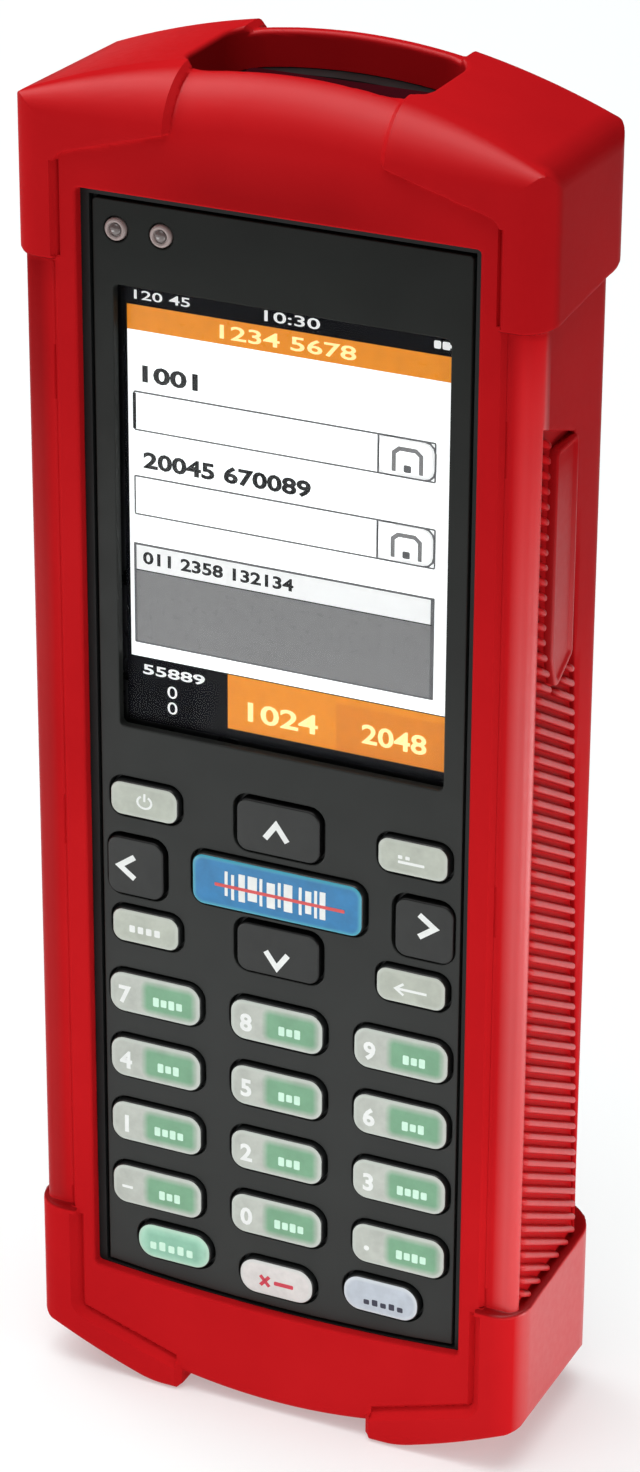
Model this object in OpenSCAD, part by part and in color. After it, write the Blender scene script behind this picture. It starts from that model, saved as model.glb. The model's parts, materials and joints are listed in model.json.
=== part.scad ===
// Portable barcode data terminal in an elastomer boot.
// The unit stands upright on the boot's feet: +Z up, the front faces -Y,
// and the origin is at the centre of the footprint, on the floor.
// Every piece that comes apart on a bench is its own node.

/* [Boot] */
// Half width of the corner bumpers
bump_hw = 35.4; // [35:0.1:36]
// Half width of the ribbed grip section
grip_hw = 34.5; // [34.2:0.1:34.9]
// Depth of the boot over the bumpers
bump_d = 29; // [28.6:0.1:30]
// Front face of the boot's flat lip
lip_y = -13.7; // [-13.9:0.1:-13.6]
// Rear face of the grip section
grip_y1 = 11.8; // [11.6:0.1:12.4]
// Half width of the front window in the boot
win_hw = 26.6; // [26.2:0.1:26.8]
// Lower edge of the front window
win_z0 = 16.3; // [16.2:0.1:16.8]
// Upper edge of the front window
win_z1 = 168; // [167.6:0.1:168.2]
// Half width of the scan slot in the top end
slot_hw = 15.8; // [15.4:0.1:16.4]
// Half width of the boot's flat lip
lip_hw = 30; // [29.6:0.1:30.4]

/* [Housing] */
// Half width of the housing
case_hw = 29; // [28.8:0.1:29.2]
// Front face of the housing and of the panel
case_y0 = -12.1; // [-12.1:0.1:-12.0]
// Rear face of the housing
case_y1 = 9.7; // [9.6:0.1:9.8]
// Lowest point of the arched bottom end
case_z0 = 6.8; // [6.6:0.1:7]
// Highest point of the arched top end
case_z1 = 179.4; // [179:0.1:179.6]
// Wall of the housing shells
wall = 1.6; // [1.4:0.1:1.8]

/* [Display] */
// Width of the active area
lcd_w = 43.2; // [42.8:0.1:43.6]
// Height of the active area
lcd_h = 57.6; // [57:0.1:58]
// Height of the active area's centre above the floor
lcd_zc = 126.2; // [125.9:0.1:126.5]

/* [Keys] */
// Width of a number key
num_w = 13.3; // [13:0.1:13.6]
// Height of a number key
num_h = 6; // [5.8:0.1:6.2]
// Column pitch of the number keys
num_px = 17.5; // [17.4:0.1:17.6]
// Row pitch of the number keys
num_pz = 9.7; // [9.6:0.1:9.8]
// Height of the lowest number row above the floor
num_z0 = 29.4; // [29.2:0.1:29.6]
// Clearance round each key in its opening
key_gap = 0.28; // [0.2:0.01:0.32]
// Key travel
key_travel = 0.6; // [0.4:0.05:0.6]

/* [Battery] */
// Diameter of an AA cell
cell_d = 14.5; // [14:0.1:14.5]
// Length of an AA cell over its positive nub
cell_l = 50.5; // [49.5:0.1:50.5]
// Half width of the battery door
door_hw = 17; // [16.6:0.1:17.2]

/* [Hidden] */
$fn = 64;

// Depth planes, front to back
key_y = -13.0;      // face of the raised keys
bez_t = 1.2;        // thickness of the panel plate
bez_y1 = case_y0 + bez_t;
flange_t = 0.6;     // retaining flange behind the panel
flange_y0 = bez_y1 + 0.1;
flange_y1 = flange_y0 + flange_t;
board_y0 = -8.4;    // front of the keypad board
board_t = 1.2;
split_y = 0;        // parting plane of the shells
seal_t = 0.8;       // gasket thickness
lcd_y0 = -9.9;      // front of the display module
main_y0 = -5.0;     // front of the main board
cell_y = 0.8;       // axis of the AA cells
cell_x = 7.45;
cell_z0 = 23;
arc_r = 79.2;       // radius of the housing's arched ends
door_z0 = 20;
door_z1 = 80;
bez_hw = 25.1;
bez_z1 = 166.6;
led_z = 162.9;
led_x = [-21.9, -15.8];
post_pts = [[-22.4, 101], [22.4, 101], [-22.4, 149], [22.4, 149]];
screw_pts = [[-24.3, 16.8], [24.3, 16.8], [-24.3, 168.6], [24.3, 168.6]];

// name, centre x, centre z, width, height, corner radius, face plane
KEYS = [
  ["key_scan", 0, 77.6, 24, 7.3, 1.7, key_y],
  ["key_up", 0, 86.45, 11.6, 7.3, 1.6, -12.5],
  ["key_down", 0, 69.05, 11.6, 7.0, 1.6, -12.5],
  ["key_left", -20.3, 76.8, 8.0, 8.2, 1.6, -12.5],
  ["key_right", 20.3, 76.8, 8.0, 8.2, 1.6, -12.5],
  ["key_f1", -18.75, 86.7, 9.7, 4.9, 1.6, key_y],
  ["key_f2", 18.75, 86.7, 9.7, 4.9, 1.6, key_y],
  ["key_f3", -18.75, 68.4, 9.7, 4.9, 1.6, key_y],
  ["key_f4", 18.75, 68.4, 9.7, 4.9, 1.6, key_y],
  ["key_7", -num_px, num_z0 + 3 * num_pz, num_w, num_h, 1.8, key_y],
  ["key_8", 0, num_z0 + 3 * num_pz, num_w, num_h, 1.8, key_y],
  ["key_9", num_px, num_z0 + 3 * num_pz, num_w, num_h, 1.8, key_y],
  ["key_4", -num_px, num_z0 + 2 * num_pz, num_w, num_h, 1.8, key_y],
  ["key_5", 0, num_z0 + 2 * num_pz, num_w, num_h, 1.8, key_y],
  ["key_6", num_px, num_z0 + 2 * num_pz, num_w, num_h, 1.8, key_y],
  ["key_1", -num_px, num_z0 + num_pz, num_w, num_h, 1.8, key_y],
  ["key_2", 0, num_z0 + num_pz, num_w, num_h, 1.8, key_y],
  ["key_3", num_px, num_z0 + num_pz, num_w, num_h, 1.8, key_y],
  ["key_minus", -num_px, num_z0, num_w, num_h, 1.8, key_y],
  ["key_0", 0, num_z0, num_w, num_h, 1.8, key_y],
  ["key_point", num_px, num_z0, num_w, num_h, 1.8, key_y],
  ["key_alpha", -15.1, 21.5, 10.8, 5.3, 2.4, key_y],
  ["key_clear", 0, 20.1, 10.8, 5.3, 2.4, key_y],
  ["key_shift", 15.1, 21.5, 10.8, 5.3, 2.4, key_y]
];

// ---- helpers ----
// Extrudes an x-z outline from y0 to y1
module yext(y0, y1) { translate([0, y1, 0]) rotate([90, 0, 0]) linear_extrude(y1 - y0) children(); }

// Extrudes a y-z outline from x0 to x1
module xext(x0, x1) { translate([x0, 0, 0]) rotate([90, 0, 90]) linear_extrude(x1 - x0) children(); }

// Rounded rectangle centred on a point
module rrect(w, h, r) {
  union() {
    square([w - 2 * r, h], center = true);
    square([w, h - 2 * r], center = true);
    for (sx = [-1, 1], sy = [-1, 1]) translate([sx * (w / 2 - r), sy * (h / 2 - r)]) circle(r);
  }
}

// Plan section (x-y) with its own front and rear corner radii
module plan2d(hw, y0, y1, rf, rr) {
  union() {
    translate([-hw, y0 + rf]) square([2 * hw, y1 - rr - y0 - rf]);
    translate([-hw + rf, y0]) square([2 * (hw - rf), 2 * rf]);
    translate([-hw + rr, y1 - 2 * rr]) square([2 * (hw - rr), 2 * rr]);
    for (s = [-1, 1]) {
      translate([s * (hw - rf), y0 + rf]) circle(rf);
      translate([s * (hw - rr), y1 - rr]) circle(rr);
    }
  }
}

// Front outline (x-z) with arched ends
module arched(hw, z0, z1, r) {
  mid = (z0 + z1) / 2;
  union() {
    intersection() { translate([-hw, mid - 1]) square([2 * hw, z1 - mid + 2]); translate([0, z1 - r]) circle(r, $fn = 128); }
    intersection() { translate([-hw, z0 - 1]) square([2 * hw, mid - z0 + 2]); translate([0, z0 + r]) circle(r, $fn = 128); }
    translate([-hw, mid - 12]) square([2 * hw, 24]);
  }
}

// Solid with the housing's outer shape, grown by g
module case_solid(g, y0, y1) {
  intersection() {
    yext(y0, y1) arched(case_hw + g, case_z0 - g, case_z1 + g, arc_r + g);
    // corners in three facets each
    linear_extrude(200) plan2d(case_hw + g, case_y0 - g, case_y1 + g, 2, 5, $fn = 12);
  }
}

// Space inside the housing
module case_inside() {
  intersection() {
    yext(case_y0 + 1.8, case_y1 - wall) arched(case_hw - wall, case_z0 + wall, case_z1 - wall, arc_r - wall);
    linear_extrude(200) plan2d(case_hw - wall, case_y0 + 1.8, case_y1 - wall, 1, 3.6, $fn = 12);
  }
}

// Panel outline with its lower edge bowed down, inset by g
module panel2d(hw, g) {
  polygon([[-hw + g, win_z0 + 0.1 + g], [-19, win_z0 - 0.45 + g], [-13, win_z0 - 0.8 + g], [-6, win_z0 - 1.05 + g], [0, win_z0 - 1.12 + g],
    [6, win_z0 - 1.05 + g], [13, win_z0 - 0.8 + g], [19, win_z0 - 0.45 + g], [hw - g, win_z0 + 0.1 + g],
    [hw - g, bez_z1 + 0.4 - g], [-hw + g, bez_z1 + 0.4 - g]]);
}

function key(n) = [for (k = KEYS) if (k[0] == n) k][0];

// ---- boot ----
rec_hw = 29.2;      // inner edge of the bumpers on the front

module boot_end_top() {
  // proud corner bumpers of the top end, one each side
  for (s = [-1, 1]) difference() {
    yext(-bump_d / 2, bump_d / 2) polygon([[s * 13.8, 170], [s * 13.8, 183.9], [s * 20, 182.8], [s * 25, 181.6],
      [s * 30, 180.1], [s * 34, 178.6], [s * bump_hw, 176.9], [s * bump_hw, 159], [s * 20, 159]]);
    // the lip stays flat below and inside the bumper's edge on the front
    yext(-bump_d / 2 - 1, lip_y) polygon([[s * 10, 150], [s * rec_hw, 150], [s * rec_hw, 172], [s * 15.5, 175.8], [s * 10, 176]]);
    yext(grip_y1, bump_d / 2 + 1) polygon([[s * 10, 150], [s * 27, 150], [s * 27, 171], [s * 15.5, 174.8], [s * 10, 175]]);
  }
}

module boot_end_bottom() {
  // proud corner bumpers of the bottom end, which are the feet
  for (s = [-1, 1]) difference() {
    yext(-bump_d / 2, bump_d / 2) polygon([[s * 13.6, 12], [s * 13.6, 0], [s * 18.4, 0], [s * 28.2, 3.3],
      [s * 33.6, 6], [s * bump_hw, 7.2], [s * bump_hw, 24.6], [s * 20, 24.6]]);
    yext(-bump_d / 2 - 1, lip_y) polygon([[s * 10, 30], [s * rec_hw, 30], [s * rec_hw, 9.9], [s * 12.8, 4.8], [s * 10, 4.8]]);
    yext(grip_y1, bump_d / 2 + 1) polygon([[s * 10, 30], [s * 27, 30], [s * 27, 10.5], [s * 12.8, 5.8], [s * 10, 5.8]]);
  }
}

module boot() {
  color([0.78, 0.1, 0.12]) difference() {
    union() {
      // grip section and the two end walls
      intersection() {
        yext(lip_y, grip_y1) union() {
          arched(lip_hw, 1.2, 184.2, 80);
          arched(grip_hw, 1.9, 183.2, 80);
        }
        union() {
          linear_extrude(190) plan2d(grip_hw, -13, grip_y1, 1.8, 6);
          translate([-lip_hw, lip_y, 0]) cube([2 * lip_hw, 3, 190]);
        }
      }
      // bumpers, rounded in plan
      intersection() {
        union() { boot_end_top(); boot_end_bottom(); }
        linear_extrude(190) plan2d(bump_hw, -bump_d / 2, bump_d / 2, 4.2, 7.2);
      }
    }
    // large rounding along the top front edge
    xext(-40, 40) difference() {
      translate([-16, 174.2]) square([10, 12]);
      translate([-5, 174.2]) circle(9.5);
      translate([-5, 174.2]) square([5, 12]);
    }
    // cavity for the housing
    case_solid(0.1, case_y0 - 0.1, case_y1 + 0.1);
    // front window
    yext(-16, case_y0) union() {
      translate([-win_hw, win_z0]) square([2 * win_hw, win_z1 - win_z0]);
      polygon([[-win_hw, win_z0 + 0.1], [-13, win_z0 - 0.9], [0, win_z0 - 1.2], [13, win_z0 - 0.9], [win_hw, win_z0 + 0.1]]);
    }
    // scan slot in the top end
    translate([0, 0.9, 176]) linear_extrude(12) rrect(2 * slot_hw, 16.8, 4);
    // rear window round the battery door
    yext(case_y1 - 1, 16) translate([0, 50]) rrect(39, 68, 4);
    // port cut-out in the bottom end
    translate([0, -5.9, -1]) linear_extrude(12) rrect(13, 7, 1.5);
  }
}

// ---- housing ----
module front_housing() {
  color([0.2, 0.21, 0.21]) difference() {
    union() {
      difference() {
        case_solid(0, case_y0, split_y - seal_t / 2);
        case_inside();
      }
      // screw bosses
      for (p = screw_pts) translate([p[0], split_y - seal_t / 2, p[1]]) rotate([90, 0, 0]) cylinder(r = 2.5, h = 10.2);
    }
    // recess that the panel plate lies in, with a groove round it
    yext(case_y0 - 1, bez_y1) panel2d(25.5, 0);
    // opening behind the plate, inside a narrow seat
    yext(case_y0 - 1, -9) panel2d(25.5, 1.25);
    // room for the flanges of the outer arrow keys
    for (s = [-1, 1]) translate([s * 22 - 3, case_y0 + 0.6, 71]) cube([6, 3, 12]);
    // room for the flanges of the outer number keys
    for (s = [-1, 1]) translate([s * 22.6 - 2.6, bez_y1, 25.4]) cube([5.2, 3, 37.6]);
    for (s = [-1, 1]) translate([s * 22.6 - 2.6, bez_y1, 64.5]) cube([5.2, 3, 7.2]);
    for (s = [-1, 1]) translate([s * 22.6 - 2.6, bez_y1, 83]) cube([5.2, 3, 8]);
    // seat of the touch window
    yext(bez_y1, -9) translate([-24.5, 91.6]) square([49, 68]);
    // room for the lamps
    for (x = led_x) translate([x, -13, led_z]) rotate([-90, 0, 0]) cylinder(r = 1.9, h = 6);
    // pilot holes
    for (p = screw_pts) translate([p[0], 1, p[1]]) rotate([90, 0, 0]) cylinder(r = 0.8, h = 9);
    // half of the window opening in the top end and of the port opening in the bottom end
    translate([0, 0.3, 176]) linear_extrude(8) rrect(25.6, 12.6, 1.2);
    translate([0, -5.9, 4]) linear_extrude(6) rrect(8.4, 3.4, 1);
  }
}

module rear_housing() {
  color([0.17, 0.18, 0.18]) difference() {
    union() {
      difference() {
        case_solid(0, split_y + seal_t / 2, case_y1);
        case_inside();
      }
      // battery compartment
      translate([-16.2, -7, 19.9]) cube([32.4, 15.6, 57.7]);
      // ledge round the door opening
      translate([-18.4, 7.1, 18.4]) cube([36.8, 1.2, 63.4]);
      // screw bosses
      for (p = screw_pts) translate([p[0], 9, p[1]]) rotate([90, 0, 0]) cylinder(r = 2.5, h = 9 - seal_t / 2);
      // posts that carry the main board
      for (p = post_pts) translate([p[0], 8.5, p[1]]) rotate([90, 0, 0]) cylinder(r = 2.1, h = 8.5 - main_y0 - board_t);
    }
    for (p = post_pts) translate([p[0], 3, p[1]]) rotate([90, 0, 0]) cylinder(r = 0.8, h = 9);
    // inside of the compartment
    translate([-15.1, -6.5, 21]) cube([30.2, 17, 55.5]);
    // door opening
    yext(8.1, 12) translate([-door_hw - 0.2, door_z0 - 0.2]) square([2 * door_hw + 0.4, door_z1 - door_z0 + 0.4]);
    // slots for the door's hooks
    for (s = [-1, 1]) translate([s * 10 - 2.5, 6.3, 17.2]) cube([5, 1.9, 5.6]);
    // screw clearance holes and head recesses
    for (p = screw_pts) {
      translate([p[0], 12, p[1]]) rotate([90, 0, 0]) cylinder(r = 1.15, h = 14);
      translate([p[0], 12, p[1]]) rotate([90, 0, 0]) cylinder(r = 2.1, h = 4.4);
    }
    translate([0, 0.3, 176]) linear_extrude(8) rrect(25.6, 12.6, 1.2);
  }
}

module housing_gasket() {
  color([0.06, 0.06, 0.06]) difference() {
    yext(split_y - seal_t / 2, split_y + seal_t / 2) difference() {
      arched(case_hw - 0.3, case_z0 + 0.3, case_z1 - 0.3, arc_r - 0.3);
      arched(case_hw - wall + 0.2, case_z0 + wall - 0.2, case_z1 - wall + 0.2, arc_r - wall + 0.2);
    }
    translate([0, 0.3, 176]) linear_extrude(8) rrect(25.6, 12.6, 1.2);
  }
}

module front_bezel() {
  color([0.22, 0.23, 0.23]) difference() {
    yext(case_y0, bez_y1) panel2d(bez_hw + 0.4, 0.4);
    // display opening with sloped sides
    yext(case_y0 - 1, bez_y1 + 1) translate([0, lcd_zc]) rrect(lcd_w + 1.6, lcd_h + 1.6, 0.8);
    // key openings
    for (k = KEYS) yext(case_y0 - 1, bez_y1 + 1) translate([k[1], k[2]]) rrect(k[3] + 2 * key_gap, k[4] + 2 * key_gap, k[5] + key_gap);
    // lamp holes
    for (x = led_x) translate([x, -14, led_z]) rotate([-90, 0, 0]) cylinder(r = 1.5, h = 6);
  }
}

// ---- display ----
module display_window() {
  color([0.8, 0.85, 0.88, 0.35]) yext(bez_y1 + 0.1, lcd_y0 - 0.1) translate([-24.2, 92]) square([48.4, 67.2]);
}

module lcd_module() {
  color([0.1, 0.1, 0.12]) union() {
    yext(lcd_y0, lcd_y0 + 2.6) translate([-24.4, 92.2]) square([48.8, 67]);
    yext(lcd_y0 + 2.6, lcd_y0 + 3.2) translate([-22, 96]) square([44, 58]);
  }
}

module lcd_flex() {
  color([0.75, 0.5, 0.15]) xext(-9, 9) polygon([[-7.25, 94.2], [-6.3, 93.4], [-5.9, 92.9], [-5.4, 93.4], [-5.1, 94.4],
    [-5.1, 97], [-5.25, 97], [-5.25, 94.5], [-5.5, 93.6], [-5.9, 93.2], [-6.3, 93.7], [-7.25, 94.5]]);
}

module led_lenses() {
  color([0.85, 0.8, 0.8, 0.6]) for (x = led_x) translate([x, 0, led_z]) rotate([-90, 0, 0])
    rotate_extrude() union() {
      intersection() { translate([0, -12.1 + 1.5]) circle(2.0); translate([0, -13]) square([1.4, 3]); }
      translate([0, -11.5]) square([1.4, 5]);
      translate([0, -10.7]) square([1.8, 0.8]);
    }
}

module status_leds() {
  color([0.9, 0.9, 0.85]) for (x = led_x) translate([x - 0.8, -6.2, led_z - 0.8]) cube([1.6, 1.15, 1.6]);
}

// ---- keypad ----
module key_body(n) {
  k = key(n);
  side = k[1] > 20 ? 1 : (k[1] < -20 ? -1 : 0);
  union() {
    yext(k[6], flange_y0 + 0.1) translate([k[1], k[2]]) rrect(k[3], k[4], k[5]);
    // retaining flange behind the panel
    yext(flange_y0, flange_y1) translate([k[1] - side * 0.3, k[2]]) rrect(k[3] + (side == 0 ? 1.2 : 0.6), k[4] + 1.2, k[5]);
    // plunger over the snap dome
    translate([k[1], flange_y1 - 0.1, k[2]]) rotate([-90, 0, 0]) cylinder(r = 1.2, h = 0.95);
  }
}

module key_num(n) { color([0.62, 0.68, 0.62]) key_body(n); }
module key_func(n) { color([0.72, 0.72, 0.68]) key_body(n); }
module key_dark(n) { color([0.18, 0.19, 0.19]) key_body(n); }
module key_scan() { color([0.14, 0.48, 0.72]) key_body("key_scan"); }
module key_alpha() { color([0.5, 0.75, 0.6]) key_body("key_alpha"); }
module key_clear() { color([0.85, 0.78, 0.78]) key_body("key_clear"); }
module key_shift() { color([0.8, 0.83, 0.9]) key_body("key_shift"); }

// Outline shared by the mat and its board
module pad2d(g) {
  difference() {
    intersection() {
      translate([-26 + g, 8.8 + g]) square([52 - 2 * g, 82.8 - 2 * g]);
      arched(26 - g, 9 + g, 190, 76);
    }
    for (s = [-1, 1]) translate([s * 24.3, 16.8]) circle(2.9 + g);
  }
}

module keypad_mat() {
  color([0.35, 0.36, 0.36]) difference() {
    yext(-9.5, board_y0 - 0.1) pad2d(0.5);
    for (k = KEYS) translate([k[1], -12, k[2]]) rotate([-90, 0, 0]) cylinder(r = 2.4, h = 6);
  }
}

module dome_switches() {
  color([0.8, 0.8, 0.8]) for (k = KEYS) translate([k[1], board_y0 - 0.3, k[2]]) rotate([-90, 0, 0]) cylinder(r1 = 1.4, r2 = 2.1, h = 0.3);
}

module keypad_board() {
  color([0.05, 0.3, 0.15]) yext(board_y0, board_y0 + board_t) pad2d(0);
}

module main_board() {
  color([0.05, 0.3, 0.15]) difference() {
    yext(main_y0, main_y0 + board_t) difference() {
      intersection() {
        translate([-26, 95]) square([52, 79]);
        arched(26, 60, 176.6, 76);
      }
      // room for the scan engine
      translate([-13, 157.5]) square([26, 30]);
      for (s = [-1, 1]) translate([s * 24.3, 168.6]) circle(2.9);
    }
    for (p = post_pts) translate([p[0], -12, p[1]]) rotate([-90, 0, 0]) cylinder(r = 1.1, h = 12);
  }
}

module board_flex() {
  color([0.75, 0.5, 0.15]) xext(-14, -2) polygon([[-7.15, 84], [-7.0, 84], [-7.0, 87], [-3.6, 91], [-3.6, 98], [-3.75, 98],
    [-3.75, 91.1], [-7.15, 87.1]]);
}

module board_screws() {
  color([0.7, 0.7, 0.72]) for (p = post_pts) translate([p[0], 0, p[1]]) union() {
    translate([0, main_y0 - 0.95, 0]) rotate([-90, 0, 0]) cylinder(r = 1.7, h = 0.95);
    translate([0, main_y0 - 0.5, 0]) rotate([-90, 0, 0]) cylinder(r = 0.75, h = 7);
  }
}

// ---- scanner ----
module scan_engine() {
  color([0.12, 0.12, 0.13]) difference() {
    translate([-10.8, -4.9, 161.5]) cube([21.6, 10.6, 13]);
    // lens well
    translate([0, 0.3, 168]) cylinder(r = 2.6, h = 8);
    // aiming lamp wells
    for (s = [-1, 1]) translate([s * 7, 0.3, 173]) cylinder(r = 1.6, h = 3);
  }
}

module scan_lens() {
  color([0.7, 0.8, 0.85, 0.5]) translate([0, 0.3, 168.1]) union() {
    cylinder(r = 2.5, h = 4.5);
    translate([0, 0, 4.4]) cylinder(r = 2.0, h = 0.8);
  }
}

module scan_bracket() {
  color([0.7, 0.7, 0.72]) union() {
    translate([-12.4, -4.9, 160.2]) cube([24.8, 10.6, 1.1]);
    for (s = [-1, 1]) translate([s * 11.7 - 0.6, -4.9, 160.3]) cube([1.2, 10.6, 11]);
  }
}

module scan_window() {
  color([0.12, 0.02, 0.04]) union() {
    translate([0, 0.3, 176.2]) linear_extrude(0.8) rrect(25.2, 12.2, 1);
    translate([0, 0.3, 176.9]) linear_extrude(2.4) rrect(25.2, 12.2, 1);
  }
}

module beeper() {
  color([0.1, 0.1, 0.1]) difference() {
    translate([19, -3.7, 160]) rotate([-90, 0, 0]) cylinder(r = 4.8, h = 4.4);
    translate([19, 0.1, 160]) rotate([-90, 0, 0]) cylinder(r = 0.8, h = 2);
  }
}

module usb_connector() {
  color([0.75, 0.75, 0.77]) difference() {
    translate([0, -5.9, 7.0]) linear_extrude(5.6) rrect(7.6, 2.5, 0.7);
    translate([0, -5.9, 6.5]) linear_extrude(5) rrect(7.0, 1.9, 0.5);
  }
}

// ---- power ----
module aa_cell(x, up) {
  zc = cell_z0 + cell_l / 2;
  translate([x, cell_y, zc]) rotate([up ? 0 : 180, 0, 0]) translate([0, 0, -cell_l / 2]) union() {
    cylinder(r = cell_d / 2, h = cell_l - 1.4);
    translate([0, 0, cell_l - 1.5]) cylinder(r = 2.6, h = 1.5);
  }
}
module battery_left() { color([0.3, 0.32, 0.35]) aa_cell(-cell_x, true); }
module battery_right() { color([0.3, 0.32, 0.35]) aa_cell(cell_x, false); }

// Flat plates against the compartment's end wall with one leaf each
module battery_contacts_top() {
  color([0.8, 0.8, 0.78]) for (s = [-1, 1]) translate([s * cell_x, 0, 0]) union() {
    translate([-3.5, -4, 76]) cube([7, 9, 0.4]);
    xext(-1.5, 1.5) polygon([[-3.5, 76.1], [4, 74.4], [4, 73.9], [3.6, 73.7], [-3.9, 75.6], [-3.9, 76.1]]);
  }
}
module battery_contacts_bottom() {
  color([0.8, 0.8, 0.78]) union() {
    translate([-11, -4, 21.1]) cube([22, 9, 0.4]);
    for (s = [-1, 1]) translate([s * cell_x, 0, 0])
      xext(-1.5, 1.5) polygon([[-3.5, 21.4], [4, 22.5], [4, 22.9], [3.6, 22.95], [-3.9, 21.8], [-3.9, 21.4]]);
  }
}

module battery_door() {
  color([0.17, 0.18, 0.18]) difference() {
    union() {
      yext(8.3, case_y1) translate([-door_hw, door_z0]) square([2 * door_hw, door_z1 - door_z0]);
      // two hooks under the edge of the opening
      for (s = [-1, 1]) translate([s * 10 - 2, 7.1, 18.5]) cube([4, 0.9, 2.2]);
      for (s = [-1, 1]) translate([s * 10 - 2, 7.1, 20.1]) cube([4, 1.4, 0.6]);
    }
    // finger notch and grip grooves
    translate([0, 13.9, 75]) sphere(r = 5);
    for (i = [0:4]) translate([-8, case_y1 - 0.35, 62 + 1.8 * i]) cube([16, 1, 0.8]);
  }
}

module housing_screws() {
  color([0.6, 0.6, 0.62]) for (p = screw_pts) translate([p[0], 0, p[1]]) union() {
    difference() {
      translate([0, 7.65, 0]) rotate([-90, 0, 0]) cylinder(r = 1.9, h = 1.1);
      translate([-1.2, 8.2, -0.2]) cube([2.4, 1, 0.4]);
      translate([-0.2, 8.2, -1.2]) cube([0.4, 1, 2.4]);
    }
    translate([0, -7, 0]) rotate([-90, 0, 0]) cylinder(r = 0.75, h = 14.7);
  }
}

boot();
front_housing();
rear_housing();
housing_gasket();
front_bezel();
display_window();
lcd_module();
lcd_flex();
led_lenses();
status_leds();
keypad_mat();
dome_switches();
keypad_board();
main_board();
board_flex();
scan_engine();
scan_lens();
scan_bracket();
scan_window();
beeper();
usb_connector();
battery_left();
battery_right();
battery_contacts_top();
battery_contacts_bottom();
battery_door();
housing_screws();
board_screws();
key_scan();
key_dark("key_up");  // key_up
key_dark("key_down");  // key_down
key_dark("key_left");  // key_left
key_dark("key_right");  // key_right
key_func("key_f1");  // key_f1
key_func("key_f2");  // key_f2
key_func("key_f3");  // key_f3
key_func("key_f4");  // key_f4
key_num("key_7");  // key_7
key_num("key_8");  // key_8
key_num("key_9");  // key_9
key_num("key_4");  // key_4
key_num("key_5");  // key_5
key_num("key_6");  // key_6
key_num("key_1");  // key_1
key_num("key_2");  // key_2
key_num("key_3");  // key_3
key_num("key_minus");  // key_minus
key_num("key_0");  // key_0
key_num("key_point");  // key_point
key_alpha();
key_clear();
key_shift();
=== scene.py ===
"""Looks of the portable barcode data terminal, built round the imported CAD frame.

Lengths in the helpers are millimetres in the CAD frame (+Z up, front faces -Y);
meshes are scaled to metres when they are made.
"""

import json
import math

import bmesh
import bpy
import numpy as np
from mathutils import Matrix, Vector
from mathutils.geometry import tessellate_polygon


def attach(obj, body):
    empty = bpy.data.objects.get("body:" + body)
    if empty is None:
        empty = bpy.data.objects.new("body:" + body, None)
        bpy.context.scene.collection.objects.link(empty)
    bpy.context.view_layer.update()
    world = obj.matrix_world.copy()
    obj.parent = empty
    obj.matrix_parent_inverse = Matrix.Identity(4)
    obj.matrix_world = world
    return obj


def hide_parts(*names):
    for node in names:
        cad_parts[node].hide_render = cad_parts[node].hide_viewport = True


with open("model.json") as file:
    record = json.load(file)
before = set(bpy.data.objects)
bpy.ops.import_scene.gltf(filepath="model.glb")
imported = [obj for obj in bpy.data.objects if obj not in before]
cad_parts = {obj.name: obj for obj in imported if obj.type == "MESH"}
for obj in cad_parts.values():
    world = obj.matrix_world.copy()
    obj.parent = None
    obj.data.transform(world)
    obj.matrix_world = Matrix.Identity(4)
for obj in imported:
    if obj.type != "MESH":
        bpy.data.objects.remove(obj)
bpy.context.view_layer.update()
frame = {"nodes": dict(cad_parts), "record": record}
MM = 0.001
COL = bpy.context.scene.collection
BODY = "terminal"

# ------------------------------------------------------------------ camera

cam_data = bpy.data.cameras.new("camera")
cam_data.sensor_fit = "VERTICAL"
cam_data.sensor_width = 36.0
cam_data.sensor_height = 36.0
cam_data.lens = 111.0
cam_data.clip_start = 0.01
cam_data.clip_end = 20.0
cam = bpy.data.objects.new("camera", cam_data)
COL.objects.link(cam)
right = Vector((0.90683, 0.42146, 0.00502))
up = Vector((-0.18469, 0.38662, 0.90356))
ahead = Vector((-0.37887, 0.82030, -0.42844))
m = Matrix.Identity(4)
for i in range(3):
    m[i][0], m[i][1], m[i][2] = right[i], up[i], -ahead[i]
m.translation = Vector((0.2194, -0.4749, 0.3425))
cam.matrix_world = m
bpy.context.scene.camera = cam

# ------------------------------------------------------------------ mesh helpers


def link(name, mesh, body=BODY, material=None):
    ob = bpy.data.objects.new(name, mesh)
    COL.objects.link(ob)
    if material is not None and not mesh.materials:
        mesh.materials.append(material)
    if body:
        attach(ob, body)
    return ob


def mesh_from(name, verts, faces, normals=None, smooth=True):
    """verts in mm; faces as lists; normals per corner if given."""
    me = bpy.data.meshes.new(name)
    me.from_pydata((np.asarray(verts, float) * MM).tolist(), [], [list(map(int, f)) for f in faces])
    me.update()
    if smooth:
        me.polygons.foreach_set("use_smooth", np.ones(len(me.polygons), bool))
    if normals is not None:
        me.normals_split_custom_set([tuple(n) for n in normals])
    return me


def smooth_by_angle(me, degrees=35.0):
    me.polygons.foreach_set("use_smooth", np.ones(len(me.polygons), bool))
    me.set_sharp_from_angle(angle=math.radians(degrees))


def rmax(a, b, r):
    """Intersection with a round edge of radius r."""
    u, v = np.maximum(a + r, 0), np.maximum(b + r, 0)
    return np.minimum(-r, np.maximum(a, b)) + np.sqrt(u * u + v * v)


def smax(a, b, k):
    h = np.maximum(k - np.abs(a - b), 0) / k
    return np.maximum(a, b) + h * h * k / 4


def smin(a, b, k):
    return -smax(-a, -b, k)


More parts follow.
